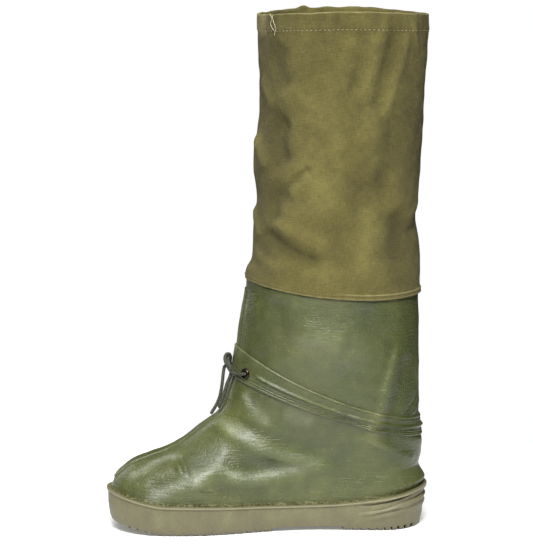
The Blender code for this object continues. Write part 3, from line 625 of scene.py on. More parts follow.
# Side, depth out in mm, half widths in mm to the left and right of the line as it runs, and the
# line as x and z in mm. Left is above a line that runs to the heel.
RUBBER_FOLDS = (
    # medial side: the vamp's two ridges that meet above the waist, and the hollows by them
    (-1, 3.2, (13, 7), ((-62, 116), (-44, 105), (-24, 94), (-5, 85), (20, 75), (60, 66))),
    (-1, 2.2, (11, 7), ((-16, 90), (8, 79), (34, 71), (76, 65))),
    (-1, -1.6, (8, 9), ((-50, 79), (-32, 75), (-14, 71), (16, 67))),
    (-1, 3.2, (7, 14), ((-44, 53), (-18, 53), (8, 57), (34, 61), (76, 66))),
    (-1, 3.6, (8, 8), ((-84, 42), (-74, 52), (-62, 61), (-52, 63), (-38, 58), (-20, 53))),
    (-1, -2.2, (7, 7), ((-62, 48), (-46, 47), (-26, 43), (4, 43))),
    # medial side: the toe's trough and creases, and those under the eyelet
    (-1, -2.4, (8, 7), ((-126, 50), (-112, 52), (-96, 55), (-78, 57))),
    (-1, -1.7, (2.0, 3.0), ((-81, 57), (-84, 65), (-87, 72), (-91, 80))),
    (-1, -1.5, (1.6, 2.4), ((-94, 64), (-97, 71), (-97, 79))),
    (-1, 1.4, (3.5, 3.5), ((-87, 60), (-91, 68), (-94, 78))),
    (-1, -1.2, (1.6, 2.4), ((-76, 52), (-69, 46), (-61, 44), (-53, 43))),
    (-1, -0.9, (1.5, 2.0), ((-68, 54), (-64, 50), (-60, 44))),
    (-1, -1.1, (2.0, 3.0), ((-14, 127), (-19, 137), (-23, 147))),
    (-1, 1.0, (2.6, 2.6), ((-20, 125), (-25, 135), (-29, 144))),
    (-1, 1.6, (9, 5), ((-30, 122), (-14, 114), (4, 108), (20, 100))),
    # medial side: the heel's long crease, the panel behind it and the sweep to the heel
    (-1, 3.0, (3.5, 8), ((97, 98), (102, 108), (110, 127), (118, 159), (131, 200))),
    (-1, -2.6, (7, 9), ((132, 92), (122, 104), (124, 125), (132, 150), (142, 186))),
    (-1, 2.4, (7, 4), ((92, 100), (104, 94), (126, 82), (152, 68))),
    (-1, -1.6, (9, 9), ((74, 128), (84, 112), (90, 96))),
    (-1, -1.1, (2.2, 2.2), ((138, 120), (147, 131), (155, 143))),
    (-1, 0.8, (2.0, 2.0), ((140, 112), (150, 122), (157, 132))),
    # medial side: the shaft's slow swells
    (-1, 2.4, (14, 16), ((26, 214), (52, 202), (78, 192))),
    (-1, -2.6, (12, 12), ((6, 250), (8, 226), (16, 200), (22, 186))),
    (-1, 1.2, (3.5, 5), ((-14, 250), (-12, 226), (-9, 204))),
    (-1, -1.4, (10, 10), ((92, 238), (100, 214), (108, 190))),
    # lateral side
    (1, 2.8, (12, 7), ((-54, 106), (-24, 92), (4, 82), (38, 74))),
    (1, -2.8, (8, 8), ((-48, 80), (-20, 72), (8, 66), (30, 62))),
    (1, 2.8, (6, 12), ((-58, 58), (-36, 52), (-8, 52), (18, 58), (40, 66))),
    (1, -1.6, (2, 3), ((-82, 58), (-84, 66), (-88, 74))),
    (1, -1.8, (7, 6), ((-112, 48), (-94, 53), (-76, 56))),
    (1, 2.4, (4, 7), ((116, 84), (106, 98), (112, 118), (122, 150), (132, 188))),
    (1, -2.2, (7, 7), ((124, 94), (126, 116), (134, 150))),
    (1, -1.8, (12, 12), ((16, 236), (24, 208), (30, 186))),
    (1, 1.8, (16, 16), ((70, 220), (82, 196), (90, 176))),
)
# Painted highlights on the rubber, pale bands where its folds catch the light: side, strength in
# tenths, half widths and line, as above. A negative strength is painted shade, a dull, deeper green.
PAINTED_LIGHT_BANDS = (
    # painted highlight on the vamp's upper band, its lower band, the peak between them and the toe,
    # the toe cap
    (-1, 8.0, (4.5, 4.5), (
        (-52, 117), (-41, 107), (-27, 98), (-13, 91), (2, 85), (24, 79), (40, 76), (50, 72), (58, 68)
    )),
    (-1, 10.0, (5.5, 4.5), (
        (-42, 62), (-25, 57), (-13, 58), (5, 60), (24, 64), (40, 68), (50, 71), (58, 75)
    )),
    (-1, 10.0, (5.0, 5.0), ((-22, 56), (-40, 63), (-55, 71), (-64, 65), (-73, 57), (-84, 49))),
    (-1, 10.0, (5.0, 6.5), ((-146, 54), (-131, 64), (-123, 69), (-111, 74), (-99, 77), (-86, 78))),
    (-1, 9.0, (5.5, 6.5), ((-128, 35), (-112, 44), (-101, 50), (-91, 55), (-79, 59), (-64, 61))),
    # painted shade, a deeper green, between and above them
    (-1, -4.0, (5, 6), ((-84, 76), (-70, 76), (-57, 77), (-43, 74), (-28, 70))),
    (-1, -3.5, (5, 5), ((-138, 54), (-122, 60), (-105, 63), (-90, 64))),
    (-1, -5.0, (9, 6), ((-30, 120), (-16, 106), (6, 98), (31, 90), (55, 83))),
    (-1, -4.0, (14, 14), ((60, 58), (86, 56), (112, 62), (140, 80))),
    # painted highlight below the eyelet, as the shaft's slow sheen and along the heel's crease;
    # painted shade on the shaft's front edge, behind the heel's crease and at its rear
    (-1, 5.0, (6, 6), ((-26, 146), (-20, 136), (-14, 127), (-6, 118), (4, 110))),
    (-1, 3.0, (7, 7), ((12, 127), (24, 122), (34, 118), (46, 113))),
    (-1, 1.5, (34, 34), ((50, 280), (56, 226), (62, 190), (72, 150))),
    (-1, 2.0, (8, 8), ((14, 202), (33, 201), (54, 202), (73, 204))),
    (-1, -6.0, (22, 22), ((-18, 262), (-16, 226), (-14, 196), (-10, 168))),
    (-1, -6.5, (12, 10), ((160, 122), (136, 112), (122, 100), (134, 86), (158, 74))),
    (-1, 6.0, (1.3, 1.8), ((98, 98), (102, 106), (109, 124), (117, 158), (131, 204))),
    (-1, 5.0, (1.3, 1.8), ((98, 104), (106, 92), (126, 80), (150, 67))),
    (-1, -5.5, (15, 15), ((146, 300), (142, 200), (138, 150), (136, 96), (140, 50))),
    # lateral side: painted highlights and a slow sheen
    (1, 6.0, (5, 5), ((-54, 110), (-24, 96), (4, 86), (38, 78))),
    (1, 6.0, (6, 6), ((-58, 62), (-36, 56), (-8, 56), (18, 62))),
    (1, 6.0, (6, 6), ((-131, 64), (-111, 73), (-92, 77))),
    (1, 2.2, (30, 30), ((44, 262), (60, 210), (84, 160))),
)
CANVAS_FOLDS = (
    # medial side: troughs and bulges by the front edge, from the hem down
    (-1, -3.4, (9, 11), ((14, 498), (10, 482), (13, 462), (20, 448))),
    (-1, 2.4, (8, 8), ((-6, 462), (-2, 446), (4, 430))),
    (-1, -4.0, (9, 13), ((20, 424), (10, 410), (9, 392), (18, 374))),
    (-1, 2.6, (7, 8), ((-11, 404), (-8, 386), (-4, 368))),
    (-1, -3.0, (9, 11), ((22, 352), (8, 344), (4, 330), (8, 316))),
    (-1, 2.6, (6, 8), ((-14, 332), (-11, 314), (-8, 298))),
    (-1, -3.6, (6, 8), ((-6, 311), (8, 299), (26, 288), (54, 276))),
    (-1, 2.6, (9, 6), ((-2, 322), (16, 311), (40, 300), (66, 290))),
    (-1, 2.4, (6, 7), ((-13, 286), (-2, 277), (14, 268))),
    (-1, -1.8, (3, 4), ((14, 352), (24, 362), (40, 378))),
    (-1, 1.3, (4, 4), ((16, 344), (28, 355), (42, 368))),
    # medial side: folds that fall from the hem at the rear, and the slack at the back edge
    (-1, -2.0, (5, 7), ((76, 440), (82, 462), (88, 486), (94, 520))),
    (-1, 1.5, (5, 6), ((88, 432), (95, 456), (101, 484), (107, 518))),
    (-1, -2.3, (5, 7), ((98, 420), (106, 446), (115, 480), (124, 522))),
    (-1, 2.2, (6, 6), ((112, 420), (122, 452), (132, 488), (138, 516))),
    (-1, -2.6, (12, 10), ((102, 340), (112, 366), (118, 400), (116, 430))),
    (-1, -3.2, (13, 12), ((120, 272), (124, 290), (126, 312), (124, 334))),
    (-1, 2.2, (10, 9), ((86, 262), (94, 284), (98, 310), (96, 340))),
    (-1, -1.8, (5, 6), ((136, 306), (148, 311), (157, 318))),
    (-1, 1.4, (6, 7), ((136, 320), (148, 328), (158, 336))),
    (-1, 1.6, (20, 20), ((52, 450), (58, 400), (58, 350), (50, 310))),
    (-1, 1.4, (3, 4), ((136, 526), (144, 506), (150, 484))),
    # lateral side
    (1, -3.2, (7, 8), ((0, 306), (18, 292), (44, 280))),
    (1, 2.2, (8, 6), ((4, 318), (24, 306), (50, 296))),
    (1, -2.8, (9, 9), ((12, 350), (20, 384), (30, 410))),
    (1, -2.6, (6, 7), ((112, 420), (104, 450), (94, 486), (88, 524))),
    (1, 2.0, (6, 6), ((88, 440), (78, 480), (72, 520))),
    (1, -2.4, (6, 6), ((36, 452), (46, 488), (52, 522))),
    (1, -3.0, (14, 14), ((120, 276), (126, 300), (120, 330))),
    (1, -2.4, (14, 12), ((124, 356), (122, 390), (110, 420))),
)
# The heel's ribs below the lip, with the same columns.
HEEL_RIBS = tuple(
    (side, depth, widths, line)
    for side in (-1, 1)
    for depth, widths, line in (
        (-1.3, (1.0, 1.2), ((86, 25.5), (108, 29), (130, 33), (148, 37.5), (160, 40.5))),
        (1.4, (1.6, 4.0), ((88, 15), (100, 20), (116, 25), (134, 28.5), (152, 33))),
        (1.2, (1.4, 3.0), ((128, 22), (144, 27.5), (156, 32), (162, 35))),
        (-0.7, (1.2, 1.2), ((104, 18), (122, 21), (140, 23.5))),
    )
)


def placed(table, grid):
    """A fold table with each line laid on a grid's surface, in metres."""
    lines = []
    for side, depth, widths, line in table:
        laid = spread([on_side(grid, side, x, z) for x, z in line])
        lines.append((depth / 1000, np.array(widths) / 1000, laid))
    return lines


def folded(points, lines):
    """How far a grid's points move out for the folds along lines."""
    moved = np.zeros(points.shape[:-1])
    for depth, widths, line in lines:
        away, place, left = line_distance(points, line)
        ends = smooth(place / 0.2) * smooth((1 - place) / 0.2)
        moved += depth * ends * np.exp(-((away / np.where(left, *widths)) ** 2))
    return moved


GUIDE = all_round(30, 30, 24)
UPPER_GRID = upper_points(np.linspace(0, 18, 160), GUIDE)
# Lines of painted highlight and painted shade on the rubber, and of its folds.
PAINTED_LIGHT_LINES, RUBBER_LINES = placed(PAINTED_LIGHT_BANDS, UPPER_GRID), placed(RUBBER_FOLDS, UPPER_GRID)
CANVAS_LINES = placed(CANVAS_FOLDS, canvas_points(np.linspace(0, 13, 130), GUIDE))
SHAFT_COLUMNS = all_round(70, 24, 66)


def rubber_face(levels, columns, closed=True):
    """The upper's outer face with its folds: points and normals."""
    points = upper_points(levels, columns)
    normals = outward(points, closed)
    height = points[..., 2] - top_edge_z(points[..., 0])
    free = smooth(height / HELD_BY_SOLE) * smooth((FOLDS_TO - points[..., 2]) / FOLDS_FADE)
    moved = folded(points, RUBBER_LINES)
    moved += 0.0007 * lumps(points, 0.032, 3.1) + 0.0003 * lumps(points, 0.009, 7.7)
    # Small puckers above and below the ankle tunnel, where the lace draws it in.
    level = np.asarray(levels, float)[:, None]
    near_band = bell(level, 10.6, 0.7) + bell(level, 13.6, 0.7)
    moved += 0.0007 * near_band * lumps(points, 0.009, 1.3, (1.0, 1.0, 3.0))
    inside = np.where((level > BAND[0] - 0.2) & (level < BAND[1] + 0.2), 0.75, 1.0)
    points = points + normals * (moved * free * inside)[..., None]
    return points, outward(points, closed), moved * free


def painted_light(points):
    """How much painted highlight the rubber has there: 0 is the plain finish, 1 the palest, and
    below 0 painted shade.
    """
    return folded(points, PAINTED_LIGHT_LINES) * 100


def canvas_face(levels, columns):
    """The canvas shaft's outer face with its folds and the puckers of its hem."""
    points = canvas_points(levels, columns)
    normals = outward(points)
    moved = folded(points, CANVAS_LINES)
    moved += 0.0022 * lumps(points, 0.040, 5.2, (1.0, 1.0, 1.5))
    moved += 0.0007 * lumps(points, 0.014, 2.4)
    moved -= 0.0008 * np.abs(lumps(points, 0.030, 11.8, (1.0, 1.0, 1.8)))
    z = points[..., 2]
    puckers, hem, rim, loose = (
        smooth((z - start) / over) for start, over in (PUCKERS, HEM, CANVAS_RIM, LOOSE)
    )
    pleats = lumps(points, 0.0085, 9.0, (1.0, 1.0, 9.0))
    moved += (0.0009 * puckers + 0.0005 * hem) * pleats
    moved = moved * (0.25 + 0.75 * loose)
    points = points + normals * moved[..., None]
    points[..., 2] += rim * 0.0009 * lumps(points, 0.012, 4.4)
    seam = bell(points[..., 0], SEAM_X, SEAM_REACH) * (points[..., 1] > 0)
    points[..., 2] += rim * SEAM_UP * seam
    return points, outward(points), moved


# Finishes.


def rubberised_fabric():
    """Cotton dipped in green rubber: a soft shine over the cloth's ribs and a fine grit, with
    painted highlight on the folds' crests and in bands, painted shade in their troughs and hollows,
    and pale cement along the sole."""
    made, tree, shader = material(
        "rubberised fabric", "50582e", 0.46, Coat_Weight=0.16, Coat_Roughness=0.24
    )
    place = add(tree, "TexCoord").outputs["Object"]
    broad, patch, grit, scuffs = (
        add(tree, "TexNoise", {"Vector": place, "Scale": size, "Detail": detail, "Roughness": rough})
        for size, detail, rough in ((17, 4, 0.6), (75, 5, 0.7), (480, 4, 0.5), (210, 6, 0.8))
    )
    # Ribs of the cloth under the rubber, 2.4 mm apart; the grit is about 1 mm across.
    along = add(tree, "Mapping", {"Vector": place, "Scale": (0.12, 0.12, 1.0)})
    ribs = add(tree, "TexNoise", {"Vector": along, "Scale": 520.0, "Detail": 2.0})
    fold, above, painted_light_level, rim = (
        add(tree, "Attribute", attribute_name=name).outputs["Fac"]
        for name in ("fold", "above_sole", "painted_light", "worn")
    )
    hue = add(tree, "MapRange", {0: broad, 1: 0.35, 2: 0.65})
    base = add(tree, "Mix", {0: hue, 6: linear("495128"), 7: linear("5f6335")}, data_type="RGBA")
    # Painted shade in the folds' troughs and painted highlight on their crests, laid over the base.
    crest = add(tree, "MapRange", {0: fold, 1: -2.2, 2: 2.6})
    trough, top = linear("66675a"), linear("a0a394")
    painted_fold_light = add(tree, "Mix", {0: crest, 6: trough, 7: top}, data_type="RGBA")
    over = {0: 0.55, 6: base, 7: painted_fold_light}
    colour = add(tree, "Mix", over, data_type="RGBA", blend_type="OVERLAY")
    # Painted highlight bands, broken up by the ribs and the grit; below 0 painted shade, a deeper
    # green. Then scuffs.
    painted_shade = add(tree, "MapRange", {0: painted_light_level, 1: 0.0, 2: -1.0})
    grain = add(tree, "Math", {0: ribs, 1: 0.6, 2: grit}, operation="MULTIPLY_ADD")
    speckle = add(tree, "MapRange", {0: grain, 1: 0.56, 2: 1.04, 3: 0.12, 4: 0.58})
    painted_highlight = add(tree, "Math", {0: painted_light_level, 1: speckle}, operation="MULTIPLY", use_clamp=True)
    scuffed = add(tree, "MapRange", {0: scuffs, 1: 0.56, 2: 0.74, 4: 0.30})
    # Painted shade, then painted highlight, then real scuffs.
    for share, paint in ((painted_shade, "343c14"), (painted_highlight, "9da290"), (scuffed, "83866a")):
        colour = add(tree, "Mix", {0: share, 6: colour, 7: linear(paint)}, data_type="RGBA")
    mottle = add(tree, "MapRange", {0: patch, 1: 0.3, 2: 0.7, 3: 0.84, 4: 1.12})
    colour = add(tree, "VectorMath", {0: colour, "Scale": mottle}, operation="SCALE")
    # Cement: a pale, broken line within 3 mm of the sole, with dirt caught in it. Pale edges: the
    # tape's own pale edge, and painted highlight along the tunnel's edges.
    wander = add(tree, "Math", {0: patch, 1: -9.0, 2: above}, operation="MULTIPLY_ADD")
    near = add(tree, "MapRange", {0: wander, 1: -1.2, 2: -3.4})
    pale = add(tree, "MapRange", {0: grit, 1: 0.44, 2: 0.62, 4: 0.60})
    cement = add(tree, "Math", {0: near, 1: pale}, operation="MULTIPLY")
    edge = add(tree, "Math", {0: rim, 1: hue}, operation="MULTIPLY")
    for share, paint in ((cement, "a39a73"), (edge, "a39d7a")):
        colour = add(tree, "Mix", {0: share, 6: colour, 7: linear(paint)}, data_type="RGBA")
    dull = add(tree, "MapRange", {0: patch, 1: 0.3, 2: 0.7, 3: 0.36, 4: 0.50})
    relief = add(tree, "Math", {0: ribs, 1: 0.85, 2: grit}, operation="MULTIPLY_ADD")
    relief = add(tree, "Math", {0: patch, 1: 0.8, 2: relief}, operation="MULTIPLY_ADD")
    raised = add(tree, "Bump", {"Strength": 1.0, "Distance": 0.0009, "Height": relief})
    feed(tree, shader, {"Base Color": colour, "Roughness": dull, "Normal": raised})
    return made


def cotton_duck():
    """Plain-woven cotton, dyed olive and washed out: matt, with slubs both ways, paler where it
    rubs, with painted shade in its folds' troughs and along its front and back edges and painted
    highlight on the crests. The threads are 0.5 mm apart and drawn at twice that to show."""
    made, tree, shader = material(
        "cotton duck", "5f5830", 0.9, Sheen_Weight=0.04, Sheen_Roughness=0.6, Specular_IOR_Level=0.2
    )
    coordinates = add(tree, "TexCoord").outputs
    place, cloth = coordinates["Object"], coordinates["UV"]
    broad, fade = (
        add(tree, "TexNoise", {"Vector": place, "Scale": scale, "Detail": 4.0, "Roughness": rough})
        for scale, rough in ((20.0, 0.65), (110.0, 0.7))
    )
    slubs, threads = {}, {}
    for i, stretch, way in ((0, (1.0, 0.12, 1.0), "X"), (1, (0.12, 1.0, 1.0), "Y")):
        along = add(tree, "Mapping", {"Vector": cloth, "Scale": stretch})
        slubs[i] = add(tree, "TexNoise", {"Vector": along, "Scale": 1100.0, "Detail": 2.0})
        threads[i] = add(tree, "TexWave", {"Vector": cloth, "Scale": 314.0}, bands_direction=way)
    slub = add(tree, "Math", slubs, operation="ADD")
    weave = add(tree, "Math", threads, operation="MULTIPLY")
    fold, worn = (
        add(tree, "Attribute", attribute_name=name).outputs["Fac"] for name in ("fold", "worn")
    )
    hue = add(tree, "MapRange", {0: broad, 1: 0.35, 2: 0.65})
    base = add(tree, "Mix", {0: hue, 6: linear("5f5830"), 7: linear("6f6839")}, data_type="RGBA")
    streak = add(tree, "MapRange", {0: slub, 1: 0.75, 2: 1.25, 3: 0.82, 4: 1.16})
    washed = add(tree, "MapRange", {0: fade, 1: 0.3, 2: 0.7, 3: 0.90, 4: 1.08})
    tone = add(tree, "Math", {0: streak, 1: washed}, operation="MULTIPLY")
    # Painted shade in the folds' troughs and along the front and back edges, painted highlight on
    # the crests.
    crest = add(tree, "MapRange", {0: fold, 1: -3.0, 2: 3.0, 3: 0.64, 4: 1.18})
    shade = add(tree, "Math", {0: tone, 1: crest}, operation="MULTIPLY")
    toned = add(tree, "VectorMath", {0: base, "Scale": shade}, operation="SCALE")
    rubs = add(tree, "Math", {0: worn, 1: fade}, operation="MULTIPLY")
    faded = add(tree, "Mix", {0: rubs, 6: toned, 7: linear("b0a674")}, data_type="RGBA")
    relief = add(tree, "Math", {0: slub, 1: 1.5, 2: weave}, operation="MULTIPLY_ADD")
    raised = add(tree, "Bump", {"Strength": 0.8, "Distance": 0.00055, "Height": relief})
    feed(tree, shader, {"Base Color": faded, "Normal": raised})
    return made


def moulded_rubber():
    """Filled rubber from a mould, tan olive: dull, with a pale bloom in blotches, dirt towards
    the tread, a fine grain and a pale line of painted highlight along the lip."""
    made, tree, shader = material(
        "moulded rubber", "6b674c", 0.6, Coat_Weight=0.08, Coat_Roughness=0.4
    )
    place = add(tree, "TexCoord").outputs["Object"]
    long = add(tree, "Mapping", {"Vector": place, "Scale": (1.0, 1.0, 0.5)})
    bloom = add(tree, "TexNoise", {"Vector": long, "Scale": 55.0, "Detail": 5.0, "Roughness": 0.7})
    grain = add(tree, "TexNoise", {"Vector": place, "Scale": 800.0, "Detail": 3.0})
    hue = add(tree, "MapRange", {0: bloom, 1: 0.36, 2: 0.66})
    base = add(tree, "Mix", {0: hue, 6: linear("5b583f"), 7: linear("6b684a")}, data_type="RGBA")
    height = add(tree, "SeparateXYZ", {0: place}).outputs["Z"]
    low = add(tree, "MapRange", {0: height, 1: 0.016, 2: 0.001, 4: 0.55})
    caught = add(tree, "Math", {0: low, 1: bloom}, operation="MULTIPLY")
    dirty = add(tree, "Mix", {0: caught, 6: base, 7: linear("57492f")}, data_type="RGBA")
    speckle = add(tree, "MapRange", {0: grain, 1: 0.3, 2: 0.7, 3: 0.88, 4: 1.12})
    toned = add(tree, "VectorMath", {0: dirty, "Scale": speckle}, operation="SCALE")
    # The pale line along the sole's lip is painted highlight.
    worn = add(tree, "Attribute", attribute_name="worn").outputs["Fac"]
    pale = add(tree, "Mix", {0: worn, 6: toned, 7: linear("a8a486")}, data_type="RGBA")
    dull = add(tree, "MapRange", {0: bloom, 1: 0.3, 2: 0.7, 3: 0.5, 4: 0.7})
    relief = add(tree, "Math", {0: bloom, 1: 2.0, 2: grain}, operation="MULTIPLY_ADD")
    raised = add(tree, "Bump", {"Strength": 0.35, "Distance": 0.0003, "Height": relief})
    feed(tree, shader, {"Base Color": pale, "Roughness": dull, "Normal": raised})
    return made


def flecked(name, dark, light, size, roughness, depth, **sockets):
    """A finish of two shades in flecks of a size in metres, with a relief as deep as depth."""
    made, tree, shader = material(name, dark, roughness, **sockets)
    place = add(tree, "TexCoord").outputs["Object"]
    fleck = add(tree, "TexNoise", {"Vector": place, "Scale": 0.7 / size, "Detail": 4.0})
    hue = add(tree, "MapRange", {0: fleck, 1: 0.36, 2: 0.64})
    base = add(tree, "Mix", {0: hue, 6: linear(dark), 7: linear(light)}, data_type="RGBA")
    raised = add(tree, "Bump", {"Strength": 0.7, "Distance": depth, "Height": fleck})
    feed(tree, shader, {"Base Color": base, "Normal": raised})
    return made


RUBBER = rubberised_fabric()
CANVAS = cotton_duck()
SOLE_RUBBER = moulded_rubber()
# Braid: dull cotton with its strands' shadows. Drawcord: the same, undyed tan.
BRAID = flecked("braided cotton lace", "20231a", "474b3a", 0.0009, 0.85, 0.0003)
DRAW_BRAID = flecked("braided drawcord", "5b5234", "7d7350", 0.0007, 0.85, 0.0002)
# Sewing thread: twisted cotton, a light line on the hem and near the cloth's own tone elsewhere.
THREAD = flecked("bleached sewing thread", "a39c78", "c2bb98", 0.001, 0.8, 0.0001)
CANVAS_THREAD = flecked("tan sewing thread", "776f41", "8f8656", 0.001, 0.8, 0.0001)
GREEN_THREAD = flecked("olive sewing thread", "4f5432", "6f7350", 0.001, 0.8, 0.0001)
# Blackened brass: dark, with lighter flecks of brass.
BLACK_METAL = flecked("blackened brass", "242120", "4a423a", 0.004, 0.24, 0.0001, Metallic=1.0)
# Moulded acetal: black, half matt.
BLACK_PLASTIC = flecked("moulded acetal", "101113", "1b1c1e", 0.0012, 0.4, 0.00005)
# Pile fabric: tufts about 2 mm wide that catch light on their tips.
SHEEN = {"Sheen_Weight": 0.5, "Sheen_Roughness": 0.5}
PLUSH = flecked("pile fabric", "4a4424", "7f7744", 0.002, 0.95, 0.0016, **SHEEN)
# Felt: matt, with fine flecks of grey in the tan.
FELT = flecked("needled felt", "5d5a45", "7a7658", 0.0016, 0.95, 0.0006)

# Lace and drawcord.


def on_ankle(side, angle, level, out):
    """(point, outward normal) in front of the ankle, out from the upper."""
    below, at, above = upper_points(level + BESIDE, Columns([side], [0], [angle]))[:, 0]
    before, after = (
        upper_points([level], Columns([side], [0], [angle + turn]))[0, 0] for turn in (-1, 1)
    )
    normal = np.cross(after - before, above - below) * -side
    normal /= np.linalg.norm(normal)
    return at + normal * out, normal


def even(route, step):
    """Points a step apart along a smooth curve through a route."""
    rough = through(numbered(route), np.linspace(0, len(route) - 1, 40 * len(route)))
    along = along_line(rough)
    at = np.linspace(0, along[-1], max(2, round(along[-1] / step) + 1))
    return np.stack([np.interp(at, along, rough[:, i]) for i in range(3)], -1), along[-1]


def tube(name, route, diameter, finish, pitch, sides=14, step=0.0005):
    """A braided cord as a mesh tube along a route, with its strands as low relief and a UV map
    of metres along it and round it."""
    line, long = even(route, step)
    tangent = np.gradient(line, axis=0)
    tangent /= np.linalg.norm(tangent, axis=1)[:, None]
    across = np.cross(tangent[0], (0.31, 0.9, 0.2))
    rows, along = [], along_line(line)
    turn = np.linspace(0, 2 * np.pi, sides, endpoint=False)
    for p, t, s in zip(line, tangent, along):
        across = across - t * (across @ t)
        across /= np.linalg.norm(across)
        other = np.cross(t, across)
        twist = 2 * np.pi * s / pitch
        wave = np.sin(twist + 2 * turn) * np.sin(twist - 2 * turn)
        end = min(s, long - s)
        round_end = math.sqrt(max(0.02, 1 - (1 - 2 * end / diameter) ** 2))
        taper = 1.0 if end > diameter / 2 else round_end
        radius = diameter / 2 * taper * (1 + BRAID_RELIEF * wave)
        ring = np.outer(np.cos(turn) * radius, across) + np.outer(np.sin(turn) * radius, other)
        rows.append(p + ring)
    quads, r, c = grid_quads(len(rows), sides, True)
    around = np.arange(sides + 1) * (math.pi * diameter / sides)
    mesh = mesh_of(name, np.array(rows)[:, ::-1], quads, grid_uv(around, along, r, c))
    make_solid(mesh)
    return new_object(name, mesh, finish), line, long


def make_solid(mesh, weld=0.0, sharp=0.0):
    """Welds points that lie closer than weld, fills a mesh's holes and turns its faces outwards.
    Edges above the angle sharp, in degrees, are drawn sharp."""
    solid = bmesh.new()
    solid.from_mesh(mesh)
    if weld:
        bmesh.ops.remove_doubles(solid, verts=solid.verts, dist=weld)
    bmesh.ops.holes_fill(solid, edges=[e for e in solid.edges if e.is_boundary], sides=0)
    bmesh.ops.recalc_face_normals(solid, faces=solid.faces)
    solid.to_mesh(mesh)
    solid.free()
    if sharp:
        mesh.set_sharp_from_angle(angle=math.radians(sharp))


def cord_piece(name, route, diameter, finish, pitch, nodes):
    made, line, long = tube(name, route, diameter, finish, pitch)
    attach(made, BODY)
    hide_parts(*nodes)


def tape_out(level, columns):
    """How far the front tape's outer face stands out from the upper."""
    raised = GAP + TAPE * smooth((TAPE_ANGLE - columns.amount) / 1.2)
    return np.where(columns.zone == 0, raised, GAP) + 0.0 * level


def tunnel_out(level, columns):
    """The same of the ankle tunnel: over the tape, with the lace's ridge and its sewn lines."""
    tape = TAPE * (columns.zone == 0) * smooth((TAPE_ANGLE + 2 - columns.amount) / 2.0)
    faded = np.where(columns.zone == 0, smooth((columns.amount - EYELET_ANGLE - 6) / 12), 1.0)
    ridge = LACE_RIDGE * LACE * bell(level, LACE_LEVEL, 0.12) * faded
    edges = smooth((level - BAND[0]) / 0.04) * smooth((BAND[1] - level) / 0.04)
    puffs = sum(bell(level, at, 0.035) for at in TUNNEL_PUFFS)
    drawn = sum(bell(level, at, 0.05) for at in TUNNEL_SEAMS)
    wall = BAND_WALL * (0.12 + 0.88 * edges)
    return GAP + tape + wall + ridge + 0.00045 * puffs - 0.0003 * drawn


def nearest(points, place):
    return np.argmin(((points - place) ** 2).sum(1))


def resting(route, faces):
    """The route's points, moved out until the lace lies on the faces instead of in them."""
    points, normals = (values.reshape(-1, 3) for values in faces)
    rested = []
    for place in route:
        near = nearest(points, place)
        out = (place - points[near]) @ normals[near]
        rested.append(place + normals[near] * max(0.0, LACE / 2 + GAP - out))
    return rested


def make_lace():
    columns, levels = all_round(60, 10, 10), np.linspace(7.0, 14.5, 180)
    points, normals, _ = rubber_face(levels, columns)
    level = levels[:, None]
    tunnel = (level > BAND[0] - 0.05) & (level < BAND[1] + 0.05)
    out = np.where(tunnel, tunnel_out(level, columns), tape_out(level, columns))
    faces = points + normals * out[..., None], normals
    for name, side, bar, strand, nodes in (
        ("lace_long", -1.0, (), LONG_STRAND, ("lace_bar_medial", "lace_knot", "lace_end_long")),
        ("lace_short", 1.0, (0.84, 0.6), SHORT_STRAND, ("lace_bar_lateral", "lace_end_short")),
    ):
        hole, normal = on_ankle(side, EYELET_ANGLE, EYELET_LEVEL, BAND_WALL)
        shown = [
            on_ankle(side, EYELET_ANGLE * share, EYELET_LEVEL - 0.03, BAND_WALL)[0] for share in bar
        ]
        shown += [np.array(row) / 1000 for row in strand]
        route = [hole - normal * 0.0028, hole + normal * 0.0009, *resting(shown, faces)]
        cord_piece(name, route, LACE, BRAID, 0.0052, nodes)


def beside_hem(behind, out, below):
    """A place by the hem's outer side, from the numbers of a row of DRAWCORD_END."""
    x = SHAFT_SET_BACK + behind * LOCK_LENGTH
    return np.array((x, SHAFT_WIDTH / 2 + out * LOCK_RADIUS, CANVAS_TOP - below * LOCK_LENGTH))


def make_drawcord():
    for name, way in (("drawcord_front", -1), ("drawcord_rear", 1)):
        route = [beside_hem(way * behind, out, below) for behind, out, below in DRAWCORD_END]
        route.insert(0, route[0] + np.array((way * 0.0018, -0.0035, 0.0012)))
        cord_piece(name + "_end", route, DRAWCORD, DRAW_BRAID, 0.0034, (name,))


make_lace()
make_drawcord()

# Main pieces.


def carry(made, *nodes):
    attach(made, BODY)
    if nodes:
        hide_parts(*nodes)
    return made


def make_upper():
    columns = all_round(52, 74, 42)
    levels = np.concatenate([np.linspace(0, 8, 96, endpoint=False), np.linspace(8, 18, 120)])
    points, normals, moved = rubber_face(levels, columns)
    foot, foot_inner = (
        sole_ring(columns, out, lambda x: cup_floor_z(x) + GAP)
        for out in (-FEATHER, -FEATHER - UPPER_WALL)
    )
    inner = hidden_face(points, normals, moved, UPPER_WALL)[::-HIDDEN_ROWS]
    outer = np.concatenate([foot, points])
    above, fold = (
        np.concatenate([np.zeros((1, columns.count)), values]) * 1000
        for values in (points[..., 2] - top_edge_z(points[..., 0]), moved)
    )
    # Looks for the finish: height above the sole, fold depth, and bands of painted highlight and
    # painted shade.
    looks = {"above_sole": above, "fold": fold, "painted_light": painted_light(outer)}
    mesh = shell("upper_rubber", outer, np.concatenate([inner, foot_inner]), **looks)
    carry(new_object("upper_rubber", mesh, RUBBER), "upper")


